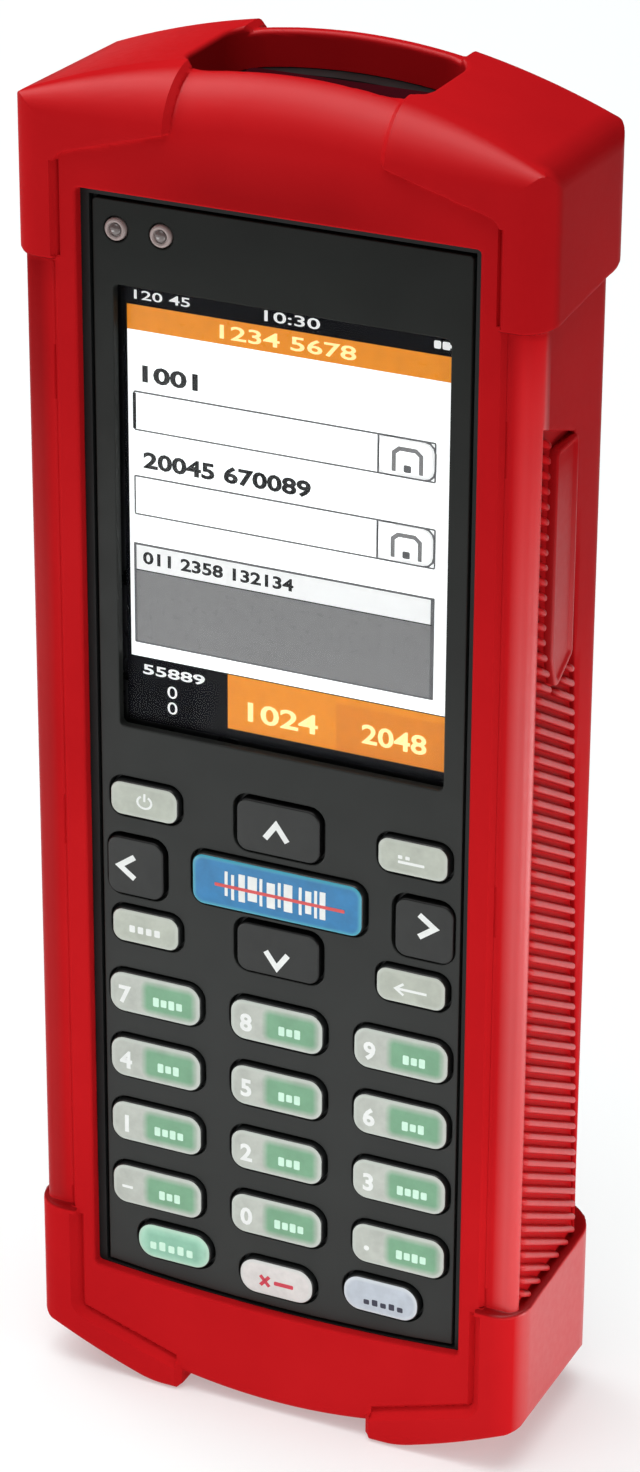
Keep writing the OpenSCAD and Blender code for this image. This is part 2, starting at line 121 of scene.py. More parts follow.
def cmax(a, b, c):
    """Intersection with a flat chamfer of width c on each face."""
    return np.maximum(np.maximum(a, b), (a + b + c) * 0.70710678)


def rbox2(u, v, hu, hv, r):
    qu, qv = np.abs(u) - hu + r, np.abs(v) - hv + r
    return np.minimum(np.maximum(qu, qv), 0) + np.hypot(np.maximum(qu, 0), np.maximum(qv, 0)) - r


def steps(*spec):
    """Grid lines from (end, step) pairs after a start value."""
    at, out = spec[0], [spec[0]]
    for end, step in spec[1:]:
        n = max(1, int(round((end - at) / step)))
        out += [at + (end - at) * (i + 1) / n for i in range(n)]
        at = end
    return np.array(out)


def mirror_lines(half):
    return np.concatenate([-half[::-1][:-1], half])


def gradient(f, p, e=0.01):
    g = np.empty_like(p)
    for a in range(3):
        d = np.zeros(3)
        d[a] = e
        q, s = p + d, p - d
        g[:, a] = (f(q[:, 0], q[:, 1], q[:, 2]) - f(s[:, 0], s[:, 1], s[:, 2])) / (2 * e)
    return g


def unit(v):
    return v / np.maximum(np.linalg.norm(v, axis=1, keepdims=True), 1e-9)


def surface_of(name, f, xs, ys, zs, box=None):
    """A closed mesh of the surface f = 0 on a grid, kept inside the box, with true creases and normals taken from f."""
    F = f(xs[:, None, None], ys[None, :, None], zs[None, None, :])
    F = np.broadcast_to(F, (len(xs), len(ys), len(zs)))
    S = F < 0
    axes = (xs, ys, zs)
    dims = np.array([len(xs) - 1, len(ys) - 1, len(zs) - 1])
    points, normals, cells, flips = [], [], [], []
    for a in range(3):
        lo = [slice(None)] * 3
        hi = [slice(None)] * 3
        lo[a], hi[a] = slice(None, -1), slice(1, None)
        idx = np.argwhere(S[tuple(lo)] != S[tuple(hi)])
        b, c = (a + 1) % 3, (a + 2) % 3
        keep = (idx[:, b] > 0) & (idx[:, b] < dims[b]) & (idx[:, c] > 0) & (idx[:, c] < dims[c])
        idx = idx[keep]
        p0 = np.stack([axes[k][idx[:, k]] for k in range(3)], 1)
        p1 = p0.copy()
        p1[:, a] = axes[a][idx[:, a] + 1]
        inside0 = S[tuple(idx.T)]
        t0, t1 = np.zeros(len(idx)), np.ones(len(idx))
        for _ in range(9):
            t = (t0 + t1) / 2
            q = p0 + (p1 - p0) * t[:, None]
            same = (f(q[:, 0], q[:, 1], q[:, 2]) < 0) == inside0
            t0, t1 = np.where(same, t, t0), np.where(same, t1, t)
        q = p0 + (p1 - p0) * ((t0 + t1) / 2)[:, None]
        points.append(q)
        normals.append(unit(gradient(f, q)))
        ring = []
        for db, dc in ((-1, -1), (0, -1), (0, 0), (-1, 0)):
            ci = idx.copy()
            ci[:, b] += db
            ci[:, c] += dc
            ring.append((ci[:, 0] * dims[1] + ci[:, 1]) * dims[2] + ci[:, 2])
        cells.append(np.stack(ring, 1))
        flips.append(~inside0)
    P, N, C, flip = (np.concatenate(v) for v in (points, normals, cells, flips))
    keys, inv = np.unique(C.ravel(), return_inverse=True)
    inv = inv.reshape(-1)
    n = len(keys)
    PP, NN = np.repeat(P, 4, axis=0), np.repeat(N, 4, axis=0)
    count = np.bincount(inv, minlength=n).astype(float)
    mass = np.stack([np.bincount(inv, PP[:, k], n) for k in range(3)], 1) / count[:, None]
    d = np.einsum("ij,ij->i", NN, PP - mass[inv])
    A = np.zeros((n, 3, 3))
    for i in range(3):
        for j in range(i, 3):
            A[:, i, j] = A[:, j, i] = np.bincount(inv, NN[:, i] * NN[:, j], n)
    B = np.stack([np.bincount(inv, NN[:, k] * d, n) for k in range(3)], 1)
    spread = np.linalg.norm(np.stack([np.bincount(inv, NN[:, k], n) for k in range(3)], 1), axis=1) / count
    A += np.eye(3)[None] * (0.012 * count)[:, None, None]
    V = mass + np.linalg.solve(A, B[..., None])[..., 0]
    i0 = keys // (dims[1] * dims[2])
    i1 = (keys // dims[2]) % dims[1]
    i2 = keys % dims[2]
    low = np.stack([xs[i0], ys[i1], zs[i2]], 1)
    high = np.stack([xs[i0 + 1], ys[i1 + 1], zs[i2 + 1]], 1)
    V = np.clip(V, low, high)
    soft = spread > 0.93
    for _ in range(2):
        q = V[soft]
        g = gradient(f, q)
        V[soft] = np.clip(q - g * (f(q[:, 0], q[:, 1], q[:, 2]) / np.maximum((g * g).sum(1), 0.2))[:, None], low[soft], high[soft])
    if box is not None:
        V = np.clip(V, box[0], box[1])
    faces = inv.reshape(-1, 4).copy()
    faces[flip] = faces[flip][:, ::-1]
    centre = V[faces].mean(1)
    # corner normals, read just inside the face from each corner, so that creases stay crisp
    away = centre[:, None, :] - V[faces]
    reach = np.linalg.norm(away, axis=2, keepdims=True)
    probe = V[faces] + away * np.minimum(0.25, 0.09 / np.maximum(reach, 1e-6))
    CN = unit(gradient(f, probe.reshape(-1, 3)))
    e1 = V[faces[:, 2]] - V[faces[:, 0]]
    e2 = V[faces[:, 3]] - V[faces[:, 1]]
    FN = np.repeat(unit(np.cross(e1, e2)), 4, axis=0)
    bad = np.einsum("ij,ij->i", CN, FN) < 0.35
    CN[bad] = FN[bad]
    me = bpy.data.meshes.new(name)
    me.vertices.add(n)
    me.vertices.foreach_set("co", (V * MM).astype(np.float32).ravel())
    me.loops.add(len(faces) * 4)
    me.loops.foreach_set("vertex_index", faces.astype(np.int32).ravel())
    me.polygons.add(len(faces))
    me.polygons.foreach_set("loop_start", np.arange(0, len(faces) * 4, 4, dtype=np.int32))
    me.update(calc_edges=True)
    me.polygons.foreach_set("use_smooth", np.ones(len(faces), bool))
    me.validate()
    if len(me.loops) == len(CN):
        me.normals_split_custom_set(CN.tolist())
    return me


def loop_rrect(cx, cz, w, h, r, inset=0.0, n=7, edge=1):
    """Closed outline of a rounded rectangle, counter-clockwise in x-z, with a point count that doesn't depend on inset."""
    w, h, r = w - 2 * inset, h - 2 * inset, max(r - inset, 0.02)
    pts = []
    corners = ((w / 2 - r, h / 2 - r, 0), (-w / 2 + r, h / 2 - r, 90), (-w / 2 + r, -h / 2 + r, 180), (w / 2 - r, -h / 2 + r, 270))
    for i, (x, z, a0) in enumerate(corners):
        arc = [(x + r * math.cos(math.radians(a0 + 90 * k / (n - 1))), z + r * math.sin(math.radians(a0 + 90 * k / (n - 1)))) for k in range(n)]
        pts += arc
        x2, z2, a2 = corners[(i + 1) % 4]
        nxt = (x2 + r * math.cos(math.radians(a2)), z2 + r * math.sin(math.radians(a2)))
        for k in range(1, edge):
            s = k / edge
            pts.append((arc[-1][0] + (nxt[0] - arc[-1][0]) * s, arc[-1][1] + (nxt[1] - arc[-1][1]) * s))
    return [(cx + x, cz + z) for x, z in pts]


def inset_loop(pts, d):
    """Offsets a counter-clockwise closed outline inwards by d (outwards if negative)."""
    p = np.array(pts, float)
    a = p - np.roll(p, 1, 0)
    b = np.roll(p, -1, 0) - p
    a /= np.maximum(np.linalg.norm(a, axis=1, keepdims=True), 1e-9)
    b /= np.maximum(np.linalg.norm(b, axis=1, keepdims=True), 1e-9)
    na, nb = np.stack([-a[:, 1], a[:, 0]], 1), np.stack([-b[:, 1], b[:, 0]], 1)
    s = na + nb
    s /= np.maximum((s * na).sum(1, keepdims=True), 0.3)
    return [tuple(v) for v in p + s * d]


def plate(name, outer, holes, y0, y1, bevel, back_bevel=0.0, hole_slope=0.0, seg=3):
    """A plate from y0 (front) to y1 with round front edges. Outlines are counter-clockwise in x-z."""
    verts, faces = [], []
    profile = [(bevel * (1 - math.sin(math.pi / 2 * k / seg)), y0 + bevel * (1 - math.cos(math.pi / 2 * k / seg))) for k in range(seg + 1)]
    profile += [(0.0, y1 - back_bevel)] + ([(back_bevel, y1)] if back_bevel else [])
    front_loops, back_loops = [], []
    for n_loop, (outline, sign) in enumerate([(outer, 1)] + [(h, -1) for h in holes]):
        rings = []
        for k, (d, y) in enumerate(profile):
            ring = inset_loop(outline, sign * d)
            start = len(verts)
            verts += [(x, y, z) for x, z in ring]
            rings.append((start, len(ring)))
        for (a, n), (b, _) in zip(rings, rings[1:]):
            for i in range(n):
                j = (i + 1) % n
                f = (a + i, a + j, b + j, b + i)
                faces.append(f if sign > 0 else f[::-1])
        front_loops.append(rings[0])
        back_loops.append(rings[-1])
    for loops, flip in ((front_loops, False), (back_loops, True)):
        polys = [[Vector((verts[s + i][0], verts[s + i][2], 0)) for i in range(n)] for s, n in loops]
        index = [s + i for s, n in loops for i in range(n)]
        for t in tessellate_polygon(polys):
            a, b, c = (index[i] for i in t)
            pa, pb, pc = (np.array(verts[i]) for i in (a, b, c))
            ny = np.cross(pb - pa, pc - pa)[1]
            if (ny > 0) != flip:
                a, b, c = a, c, b
            faces.append((a, b, c))
    me = mesh_from(name, verts, faces)
    smooth_by_angle(me, 40)
    return me


def ring_solid(rings, close_front=True, close_back=True):
    """Verts and faces of a loft through closed x-z rings given as (outline, y), front to back; a ring's y may be a list."""
    verts, faces = [], []
    starts = []
    for outline, y in rings:
        starts.append(len(verts))
        ys = y if hasattr(y, "__len__") else [y] * len(outline)
        verts += [(p[0], yy, p[1]) for p, yy in zip(outline, ys)]
    n = len(rings[0][0])
    for a, b in zip(starts, starts[1:]):
        for i in range(n):
            j = (i + 1) % n
            faces.append((a + i, a + j, b + j, b + i))
    if close_front:
        faces.append(tuple(range(starts[0] + n - 1, starts[0] - 1, -1))[::-1])
    if close_back:
        faces.append(tuple(range(starts[-1] + n - 1, starts[-1] - 1, -1)))
    return verts, faces


# ------------------------------------------------------------------ materials


def nodes_of(mat):
    mat.use_nodes = True
    nt = mat.node_tree
    nt.nodes.clear()
    out = nt.nodes.new("ShaderNodeOutputMaterial")
    bsdf = nt.nodes.new("ShaderNodeBsdfPrincipled")
    nt.links.new(bsdf.outputs[0], out.inputs[0])
    return nt, bsdf


def noise(nt, scale, detail=2.0, rough=0.5, coord=None):
    n = nt.nodes.new("ShaderNodeTexNoise")
    n.inputs["Scale"].default_value = scale
    n.inputs["Detail"].default_value = detail
    n.inputs["Roughness"].default_value = rough
    if coord is None:
        coord = nt.nodes.new("ShaderNodeTexCoord").outputs["Object"]
    nt.links.new(coord, n.inputs["Vector"])
    return n.outputs["Fac"]


def ramp(nt, fac, stops):
    r = nt.nodes.new("ShaderNodeValToRGB")
    while len(r.color_ramp.elements) < len(stops):
        r.color_ramp.elements.new(0.5)
    for e, (pos, col) in zip(r.color_ramp.elements, stops):
        e.position = pos
        e.color = (*col, 1) if len(col) == 3 else col
    nt.links.new(fac, r.inputs["Fac"])
    return r.outputs["Color"]


def maprange(nt, fac, a, b, c, d):
    n = nt.nodes.new("ShaderNodeMapRange")
    for k, v in zip(("From Min", "From Max", "To Min", "To Max"), (a, b, c, d)):
        n.inputs[k].default_value = v
    nt.links.new(fac, n.inputs["Value"])
    return n.outputs["Result"]


def bump(nt, height, strength, distance, base=None):
    b = nt.nodes.new("ShaderNodeBump")
    b.inputs["Strength"].default_value = strength
    b.inputs["Distance"].default_value = distance
    nt.links.new(height, b.inputs["Height"])
    if base is not None:
        nt.links.new(base, b.inputs["Normal"])
    return b.outputs["Normal"]


def finish_mat(name, color, dark=0.85, light=1.12, rough=(0.4, 0.5), grain=2600.0, grain_h=0.00002, grain_s=0.25, blotch=90.0,
               spec=0.5, metallic=0.0, coat=0.0, sheen=0.0, coat_rough=0.1):
    """A moulded or painted surface: slow colour variation, uneven roughness and a fine grain."""
    mat = bpy.data.materials.new(name)
    nt, p = nodes_of(mat)
    slow = noise(nt, blotch, 3.0)
    c = tuple(color)
    nt.links.new(ramp(nt, slow, [(0.3, tuple(v * dark for v in c)), (0.7, tuple(min(1, v * light) for v in c))]), p.inputs["Base Color"])
    nt.links.new(maprange(nt, noise(nt, blotch * 4, 2.0), 0.3, 0.7, *rough), p.inputs["Roughness"])
    nt.links.new(bump(nt, noise(nt, grain, 2.0, 0.6), grain_s, grain_h), p.inputs["Normal"])
    p.inputs["Specular IOR Level"].default_value = spec
    p.inputs["Metallic"].default_value = metallic
    p.inputs["Coat Weight"].default_value = coat
    p.inputs["Coat Roughness"].default_value = coat_rough
    p.inputs["Sheen Weight"].default_value = sheen
    return mat


def polish(mat, z0, z1, low, high):
    """Lets the reflection of a surface change along the part's height."""
    nt = mat.node_tree
    p = [n for n in nt.nodes if n.type == "BSDF_PRINCIPLED"][0]
    sep = nt.nodes.new("ShaderNodeSeparateXYZ")
    nt.links.new(nt.nodes.new("ShaderNodeTexCoord").outputs["Object"], sep.inputs[0])
    nt.links.new(maprange(nt, sep.outputs[2], z0, z1, low, high), p.inputs["Specular IOR Level"])
    return mat


def metal_mat(name, color, rough=(0.25, 0.4), scale=(40.0, 40.0, 2500.0), strength=0.15):
    mat = bpy.data.materials.new(name)
    nt, p = nodes_of(mat)
    coord = nt.nodes.new("ShaderNodeTexCoord").outputs["Object"]
    mp = nt.nodes.new("ShaderNodeMapping")
    mp.inputs["Scale"].default_value = scale
    nt.links.new(coord, mp.inputs["Vector"])
    brushed = noise(nt, 1.0, 3.0, 0.6, mp.outputs["Vector"])
    nt.links.new(ramp(nt, brushed, [(0.3, tuple(v * 0.85 for v in color)), (0.7, color)]), p.inputs["Base Color"])
    nt.links.new(maprange(nt, brushed, 0.3, 0.7, *rough), p.inputs["Roughness"])
    nt.links.new(bump(nt, brushed, strength, 0.00001), p.inputs["Normal"])
    p.inputs["Metallic"].default_value = 1.0
    return mat


def print_mat(name, color, glow=0.0, rough=0.45, spec=0.3):
    """Ink or a lit screen element, with faint mottling."""
    mat = bpy.data.materials.new(name)
    nt, p = nodes_of(mat)
    col = ramp(nt, noise(nt, 700.0, 2.0), [(0.3, tuple(v * 0.95 for v in color)), (0.7, tuple(min(1, v * 1.03) for v in color))])
    nt.links.new(col, p.inputs["Base Color"])
    nt.links.new(maprange(nt, noise(nt, 1200.0), 0.3, 0.7, rough - 0.04, rough + 0.04), p.inputs["Roughness"])
    if glow:
        nt.links.new(col, p.inputs["Emission Color"])
        p.inputs["Emission Strength"].default_value = glow
    p.inputs["Specular IOR Level"].default_value = spec
    return mat


def glass_mat(name, color, rough=0.0, ior=1.45, weight=1.0):
    mat = bpy.data.materials.new(name)
    nt, p = nodes_of(mat)
    nt.links.new(ramp(nt, noise(nt, 60.0), [(0.2, tuple(v * 0.98 for v in color)), (0.8, color)]), p.inputs["Base Color"])
    nt.links.new(maprange(nt, noise(nt, 400.0), 0.3, 0.7, rough, rough + 0.015), p.inputs["Roughness"])
    p.inputs["Transmission Weight"].default_value = weight
    p.inputs["IOR"].default_value = ior
    return mat


def boot_mat(name="boot_red", ribs=False):
    """Red moulded elastomer, satin, with a fine spark-eroded grain, polished by handling along its long upright corners
    and on its ribs. Its red is scaled by painted shade and painted highlights.
    """
    mat = bpy.data.materials.new(name)
    nt, p = nodes_of(mat)
    slow = noise(nt, 26.0, 4.0, 0.55)
    red = ramp(nt, slow, [(0.28, (0.455, 0.0075, 0.0105)), (0.5, (0.515, 0.0090, 0.0120)), (0.75, (0.565, 0.0115, 0.0145))])
    mix = nt.nodes.new("ShaderNodeMath")
    mix.operation = "ADD"
    nt.links.new(maprange(nt, noise(nt, 55.0, 3.0), 0.3, 0.7, 0.33, 0.39), mix.inputs[0])
    nt.links.new(maprange(nt, noise(nt, 900.0, 2.0), 0.3, 0.7, 0.0, 0.06), mix.inputs[1])
    nt.links.new(mix.outputs[0], p.inputs["Roughness"])
    fine = bump(nt, noise(nt, 3300.0, 2.0, 0.65), 0.22, 0.00002)
    nt.links.new(bump(nt, noise(nt, 240.0, 2.0), 0.12, 0.00006, fine), p.inputs["Normal"])
    sep = nt.nodes.new("ShaderNodeSeparateXYZ")
    nt.links.new(nt.nodes.new("ShaderNodeTexCoord").outputs["Object"], sep.inputs[0])

    def math_node(op, a, b=None):
        n = nt.nodes.new("ShaderNodeMath")
        n.operation = op
        nt.links.new(a, n.inputs[0])
        if b is not None:
            nt.links.new(b, n.inputs[1])
        return n.outputs[0]

    x_abs = math_node("ABSOLUTE", sep.outputs[0])
    side = maprange(nt, sep.outputs[0], -0.02, 0.02, 0.12, 1.0)
    worn = math_node("MULTIPLY", maprange(nt, sep.outputs[2], 0.098 if ribs else 0.112, 0.140 if ribs else 0.158, 1.0, 0.0), side)
    if not ribs:
        worn = math_node("MULTIPLY", worn, maprange(nt, x_abs, 0.0309, 0.0325, 0.0, 1.0))
        worn = math_node("MULTIPLY", worn, maprange(nt, sep.outputs[1], -0.0114, -0.0100, 1.0, 0.0))
        worn = math_node("MULTIPLY", worn, maprange(nt, sep.outputs[2], 0.0238, 0.0250, 0.0, 1.0))
        foot = math_node("MULTIPLY", maprange(nt, x_abs, 0.0342, 0.0351, 0.0, 1.0), maprange(nt, sep.outputs[2], 0.0245, 0.0255, 1.0, 0.0))
        worn = math_node("MAXIMUM", worn, math_node("MULTIPLY", foot, side))
    # painted shade darkens the upper grip, and a painted highlight lightens the long upper front edge, which is also
    # glossier
    scale = nt.nodes.new("ShaderNodeVectorMath")
    scale.operation = "SCALE"
    nt.links.new(red, scale.inputs[0])
    grip = math_node("MULTIPLY", maprange(nt, x_abs, 0.0315, 0.0335, 0.0, 1.0), maprange(nt, sep.outputs[2], 0.080, 0.125, 0.0, 1.0))
    grip = math_node("MULTIPLY", grip, maprange(nt, sep.outputs[1], -0.0120, -0.0106, 0.0, 1.0))
    tilt = nt.nodes.new("ShaderNodeSeparateXYZ")
    nt.links.new(nt.nodes.new("ShaderNodeNewGeometry").outputs["Normal"], tilt.inputs[0])
    edge = math_node("MULTIPLY", maprange(nt, tilt.outputs[2], 0.25, 0.6, 0.0, 1.0), maprange(nt, tilt.outputs[1], -0.55, -0.3, 1.0, 0.0))
    edge = math_node("MULTIPLY", edge, maprange(nt, sep.outputs[2], 0.150, 0.162, 0.0, 1.0))
    painted_light_tone = math_node("ADD", maprange(nt, grip, 0.0, 1.0, 1.0, 0.76), maprange(nt, edge, 0.0, 1.0, 0.0, 0.16))
    # painted highlight on the upright front corner band at the right and painted shade on the one at the left
    band = math_node("MULTIPLY", maprange(nt, x_abs, 0.0305, 0.0320, 0.0, 1.0), maprange(nt, sep.outputs[1], -0.0118, -0.0106, 1.0, 0.0))
    band = math_node("MULTIPLY", band, math_node("MULTIPLY", maprange(nt, sep.outputs[2], 0.0245, 0.0255, 0.0, 1.0), maprange(nt, sep.outputs[2], 0.1575, 0.1585, 1.0, 0.0)))
    painted_light_tone = math_node("ADD", painted_light_tone, math_node("MULTIPLY", band, maprange(nt, sep.outputs[0], -0.02, 0.02, -0.22, 0.16)))
    # more painted highlight on the right band and painted shade on the left band towards the top
    upper = math_node("MULTIPLY", band, maprange(nt, sep.outputs[2], 0.105, 0.145, 0.0, 1.0))
    painted_light_tone = math_node("ADD", painted_light_tone, math_node("MULTIPLY", upper, maprange(nt, sep.outputs[0], -0.02, 0.02, -0.12, 0.20)))
    # painted shade: the header is a little darker just above the middle of the window
    head = math_node("MULTIPLY", maprange(nt, tilt.outputs[1], -0.95, -0.75, 1.0, 0.0), maprange(nt, x_abs, 0.008, 0.024, 0.26, 0.0))
    head = math_node("MULTIPLY", head, math_node("MULTIPLY", maprange(nt, sep.outputs[2], 0.1700, 0.1760, 1.0, 0.0), maprange(nt, sep.outputs[2], 0.164, 0.168, 0.0, 1.0)))
    painted_light_tone = math_node("SUBTRACT", painted_light_tone, head)
    # painted shade: the ledge on the feet and the underside of the upper bumpers are darker
    ledge = math_node("MULTIPLY", maprange(nt, tilt.outputs[2], 0.35, 0.75, 0.0, 0.55), maprange(nt, sep.outputs[2], 0.0225, 0.0235, 0.0, 1.0))
    ledge = math_node("MULTIPLY", ledge, math_node("MULTIPLY", maprange(nt, sep.outputs[2], 0.0262, 0.0268, 1.0, 0.0), maprange(nt, x_abs, 0.0145, 0.0150, 0.0, 1.0)))
    under = math_node("MULTIPLY", maprange(nt, tilt.outputs[2], -0.75, -0.35, 0.55, 0.0), maprange(nt, sep.outputs[2], 0.1570, 0.1575, 0.0, 1.0))
    under = math_node("MULTIPLY", under, maprange(nt, sep.outputs[2], 0.1612, 0.1620, 1.0, 0.0))
    painted_light_tone = math_node("SUBTRACT", painted_light_tone, math_node("MAXIMUM", ledge, under))
    # the red is scaled by all of the painted shade and painted highlights above
    nt.links.new(painted_light_tone, scale.inputs["Scale"])
    nt.links.new(scale.outputs[0], p.inputs["Base Color"])
    shine = maprange(nt, worn, 0.0, 1.0, 0.006, 0.35 if ribs else 0.7)
    nt.links.new(math_node("ADD", shine, maprange(nt, edge, 0.0, 1.0, 0.0, 0.22)), p.inputs["Specular IOR Level"])
    return mat


MAT = {
    "boot_elastomer": boot_mat(),
    "housing_plastic": finish_mat("housing_black", (0.014, 0.015, 0.015), rough=(0.42, 0.52), grain_s=0.3, spec=0.16),
    "panel_plastic": polish(finish_mat("panel_graphite", (0.0150, 0.0165, 0.0150), rough=(0.40, 0.48), grain_s=0.3), 0.05, 0.16, 0.36, 0.10),
    "seal_rubber": finish_mat("seal_rubber", (0.012, 0.012, 0.012), rough=(0.6, 0.7)),
    "window_glass": glass_mat("touch_window", (0.97, 0.98, 0.98), ior=1.12),
    "lcd_black": finish_mat("display_black", (0.008, 0.008, 0.01), rough=(0.25, 0.35)),
    "flex_amber": finish_mat("flex_amber", (0.5, 0.24, 0.04), rough=(0.2, 0.3), coat=0.3),
    "lamp_lens": glass_mat("lamp_lens", (0.86, 0.72, 0.7), rough=0.12, ior=1.4, weight=0.55),
    "lamp_chip": finish_mat("lamp_chip", (0.75, 0.72, 0.65), rough=(0.4, 0.5)),
    "mat_silicone": finish_mat("mat_silicone", (0.12, 0.12, 0.12), rough=(0.55, 0.65)),
    "dome_steel": metal_mat("dome_steel", (0.72, 0.72, 0.72)),
    "board_green": finish_mat("board_green", (0.015, 0.13, 0.045), rough=(0.3, 0.4), coat=0.2),
    "scanner_black": finish_mat("scanner_black", (0.02, 0.02, 0.02), rough=(0.5, 0.6)),
    "lens_glass": glass_mat("lens_glass", (0.8, 0.88, 0.9)),
    "bracket_steel": metal_mat("bracket_steel", (0.6, 0.6, 0.62)),
    "scan_window_dark": finish_mat("scan_window_dark", (0.010, 0.004, 0.008), rough=(0.06, 0.1), grain_s=0.0, coat=0.5),
    "connector_steel": metal_mat("connector_steel", (0.66, 0.66, 0.68)),
    "cell_jacket": finish_mat("cell_jacket", (0.09, 0.1, 0.12), rough=(0.25, 0.35), coat=0.3),
    "contact_nickel": metal_mat("contact_nickel", (0.72, 0.7, 0.66)),
    "screw_steel": metal_mat("screw_steel", (0.5, 0.5, 0.52)),
}
NODE_SLOT = {row["node"]: row["material_slot"] for row in frame["record"]["subparts"]}


# ------------------------------------------------------------------ boot


def field_end(z):
    """Rear edge of the ribbed field, which leans forward towards its top."""
    return 6.9 - (z - 34.0) * 0.083


def foot_top(y):
    return 24.3 + (y + 14.5) * 0.06


def field_top(y):
    return 146.3 - 0.36 * (y + 11.9)


def boot_f(x, y, z):
    ax = np.abs(x)
    # the rounding along the top front edge shrinks towards the outer corners
    rt = 8.5 - 6.7 * np.clip((ax - 9) / 25.5, 0, 1) ** 1.9

    def arc(zc, r, upper):
        return np.where((z > zc) if upper else (z < zc), np.hypot(x, z - zc) - r, ax - r)

    # grip section
    side, front, rear = ax - 34.3, -13.0 - y, y - 11.8
    ta, ba = arc(103.2, 80, True), arc(81.9, 80, False)
    a = np.maximum(rmax(side, front, 1.5), rmax(side, rear, 6.0))
    for edge in (rmax(ta, front, rt), rmax(ta, rear, 2.2), rmax(ba, front, 1.4), rmax(ba, rear, 2.0)):
        a = np.maximum(a, edge)
    # shallow field that the ribs stand in
    field = np.maximum(np.maximum(-11.75 - y, y - field_end(z) - 0.2), np.maximum(19.0 - z, z - field_top(y)))
    a = rmax(a, -np.maximum(field, 33.55 - ax), 0.25)
    # flat lip that stands a little proud of the grip
    tb, bb, lip = arc(104.2, 80, True), arc(81.2, 80, False), -13.7 - y
    b = rmax(ax - 30.0, lip, 0.3)
    for edge in (rmax(tb, lip, rt), rmax(tb, rear, 1.6), rmax(bb, lip, 1.2), rmax(bb, rear, 1.6)):
        b = np.maximum(b, edge)
    f = smin(a, b, 0.15)
    # corner bumpers of the top end
    front, rear, side = -14.5 - y, y - 14.5, ax - 35.4
    tc = np.where(z > 84.6, np.hypot(x + 1.2, z - 84.6) - 100.0, ax - 100.0) + 0.03 * (y + 14.5) * np.clip((ax - 14) / 20, 0, 1)
    plan = np.maximum(rmax(side, front, 4.2), rmax(side, rear, 7.2))
    c = np.maximum(np.maximum(plan, rmax(tc, side, 1.8)), np.maximum(rmax(tc, front, rt), rmax(tc, rear, 3.0)))
    c = rmax(c, 158.5 + (y + 14.5) * 0.08 - z, 0.5)
    c = cmax(c, 13.7 - ax, 0.75)
    q = rmax(ax - 29.2, ((ax - 29.2) * 3.8 + (z - 172) * 13.3) / 13.83, 1.6)
    c = rmax(c, -np.maximum(q, y + 9.0), 0.35)
    q = rmax(ax - 27.0, ((ax - 27.0) * 3.8 + (z - 171) * 11.5) / 12.11, 1.6)
    c = rmax(c, -np.maximum(q, 9.0 - y), 0.8)
    f = smin(f, c, 0.2)
    # feet
    d2 = (0.33 * (ax - 18.2) - z) / 1.053
    d3 = (3.3 + 0.507 * (ax - 28.2) - z) / 1.121
    low = smax(smax(-z, d2, 0.6), d3, 1.2)
    d = np.maximum(np.maximum(plan, rmax(low, side, 0.8)), np.maximum(rmax(low, front, 1.1), rmax(low, rear, 2.2)))
    d = rmax(d, z - foot_top(y), 0.55)
    d = cmax(d, 13.6 - ax, 0.75)
    edge_b = rmax(ax - 29.0, -((z - 8.9) * 16 - (ax - 29.0) * 5.1) / 16.79, 0.9)
    d = rmax(d, -np.maximum(edge_b, y + 9.0), 0.35)
    q = rmax(ax - 27.0, -((z - 10.9) * 14.2 - (ax - 27.0) * 4.7) / 14.96, 1.4)
    d = rmax(d, -np.maximum(q, 9.0 - y), 0.8)
    f = smin(f, d, 0.2)
    # groove between the lip and the grip, and a finer one along the inner edges of the bumpers
    g = np.maximum(y + 12.85 + 1.3 * np.abs(ax - 30.0), np.maximum(24.5 - z, z - 158.3))
    f = np.maximum(f, -g)
    g = np.maximum(y + 13.25 + 1.7 * np.abs(ax - 28.95), np.maximum(159.0 - z, z - 171.2))
    f = np.maximum(f, -g)
    g = np.maximum(y + 13.1 + 1.1 * np.abs(edge_b + 0.3), np.maximum(14.4 - ax, z - 23.6))
    f = np.maximum(f, -g)
    # front window with its lower edge bowed
    w = rmax(ax - 26.6, np.maximum(z - 168.0, 16.3 - 1.2 * np.clip(1 - (ax / 26.6) ** 2, 0, 1) - z), 0.6)
    f = rmax(f, -np.maximum(w, y + 9.0), 0.4)
    # scan slot, rear window and port cut-out
    f = rmax(f, -np.maximum(rbox2(x, y - 0.9, 15.8, 8.4, 4.0), 172 - z), 0.7)
    f = rmax(f, -np.maximum(rbox2(x, z - 50, 19.5, 34.0, 4.0), 5.0 - y), 0.7)
    f = rmax(f, -np.maximum(rbox2(x, y + 5.9, 6.5, 3.5, 1.5), z - 14.0), 0.5)
    # space for the housing
    case = np.maximum(rmax(ax - 29.1, -12.2 - y, 2.1), rmax(ax - 29.1, y - 9.8, 5.1))
    case = np.maximum(case, np.maximum(arc(100.2, 79.3, True), arc(86.0, 79.3, False)))
    return np.maximum(f, -case)


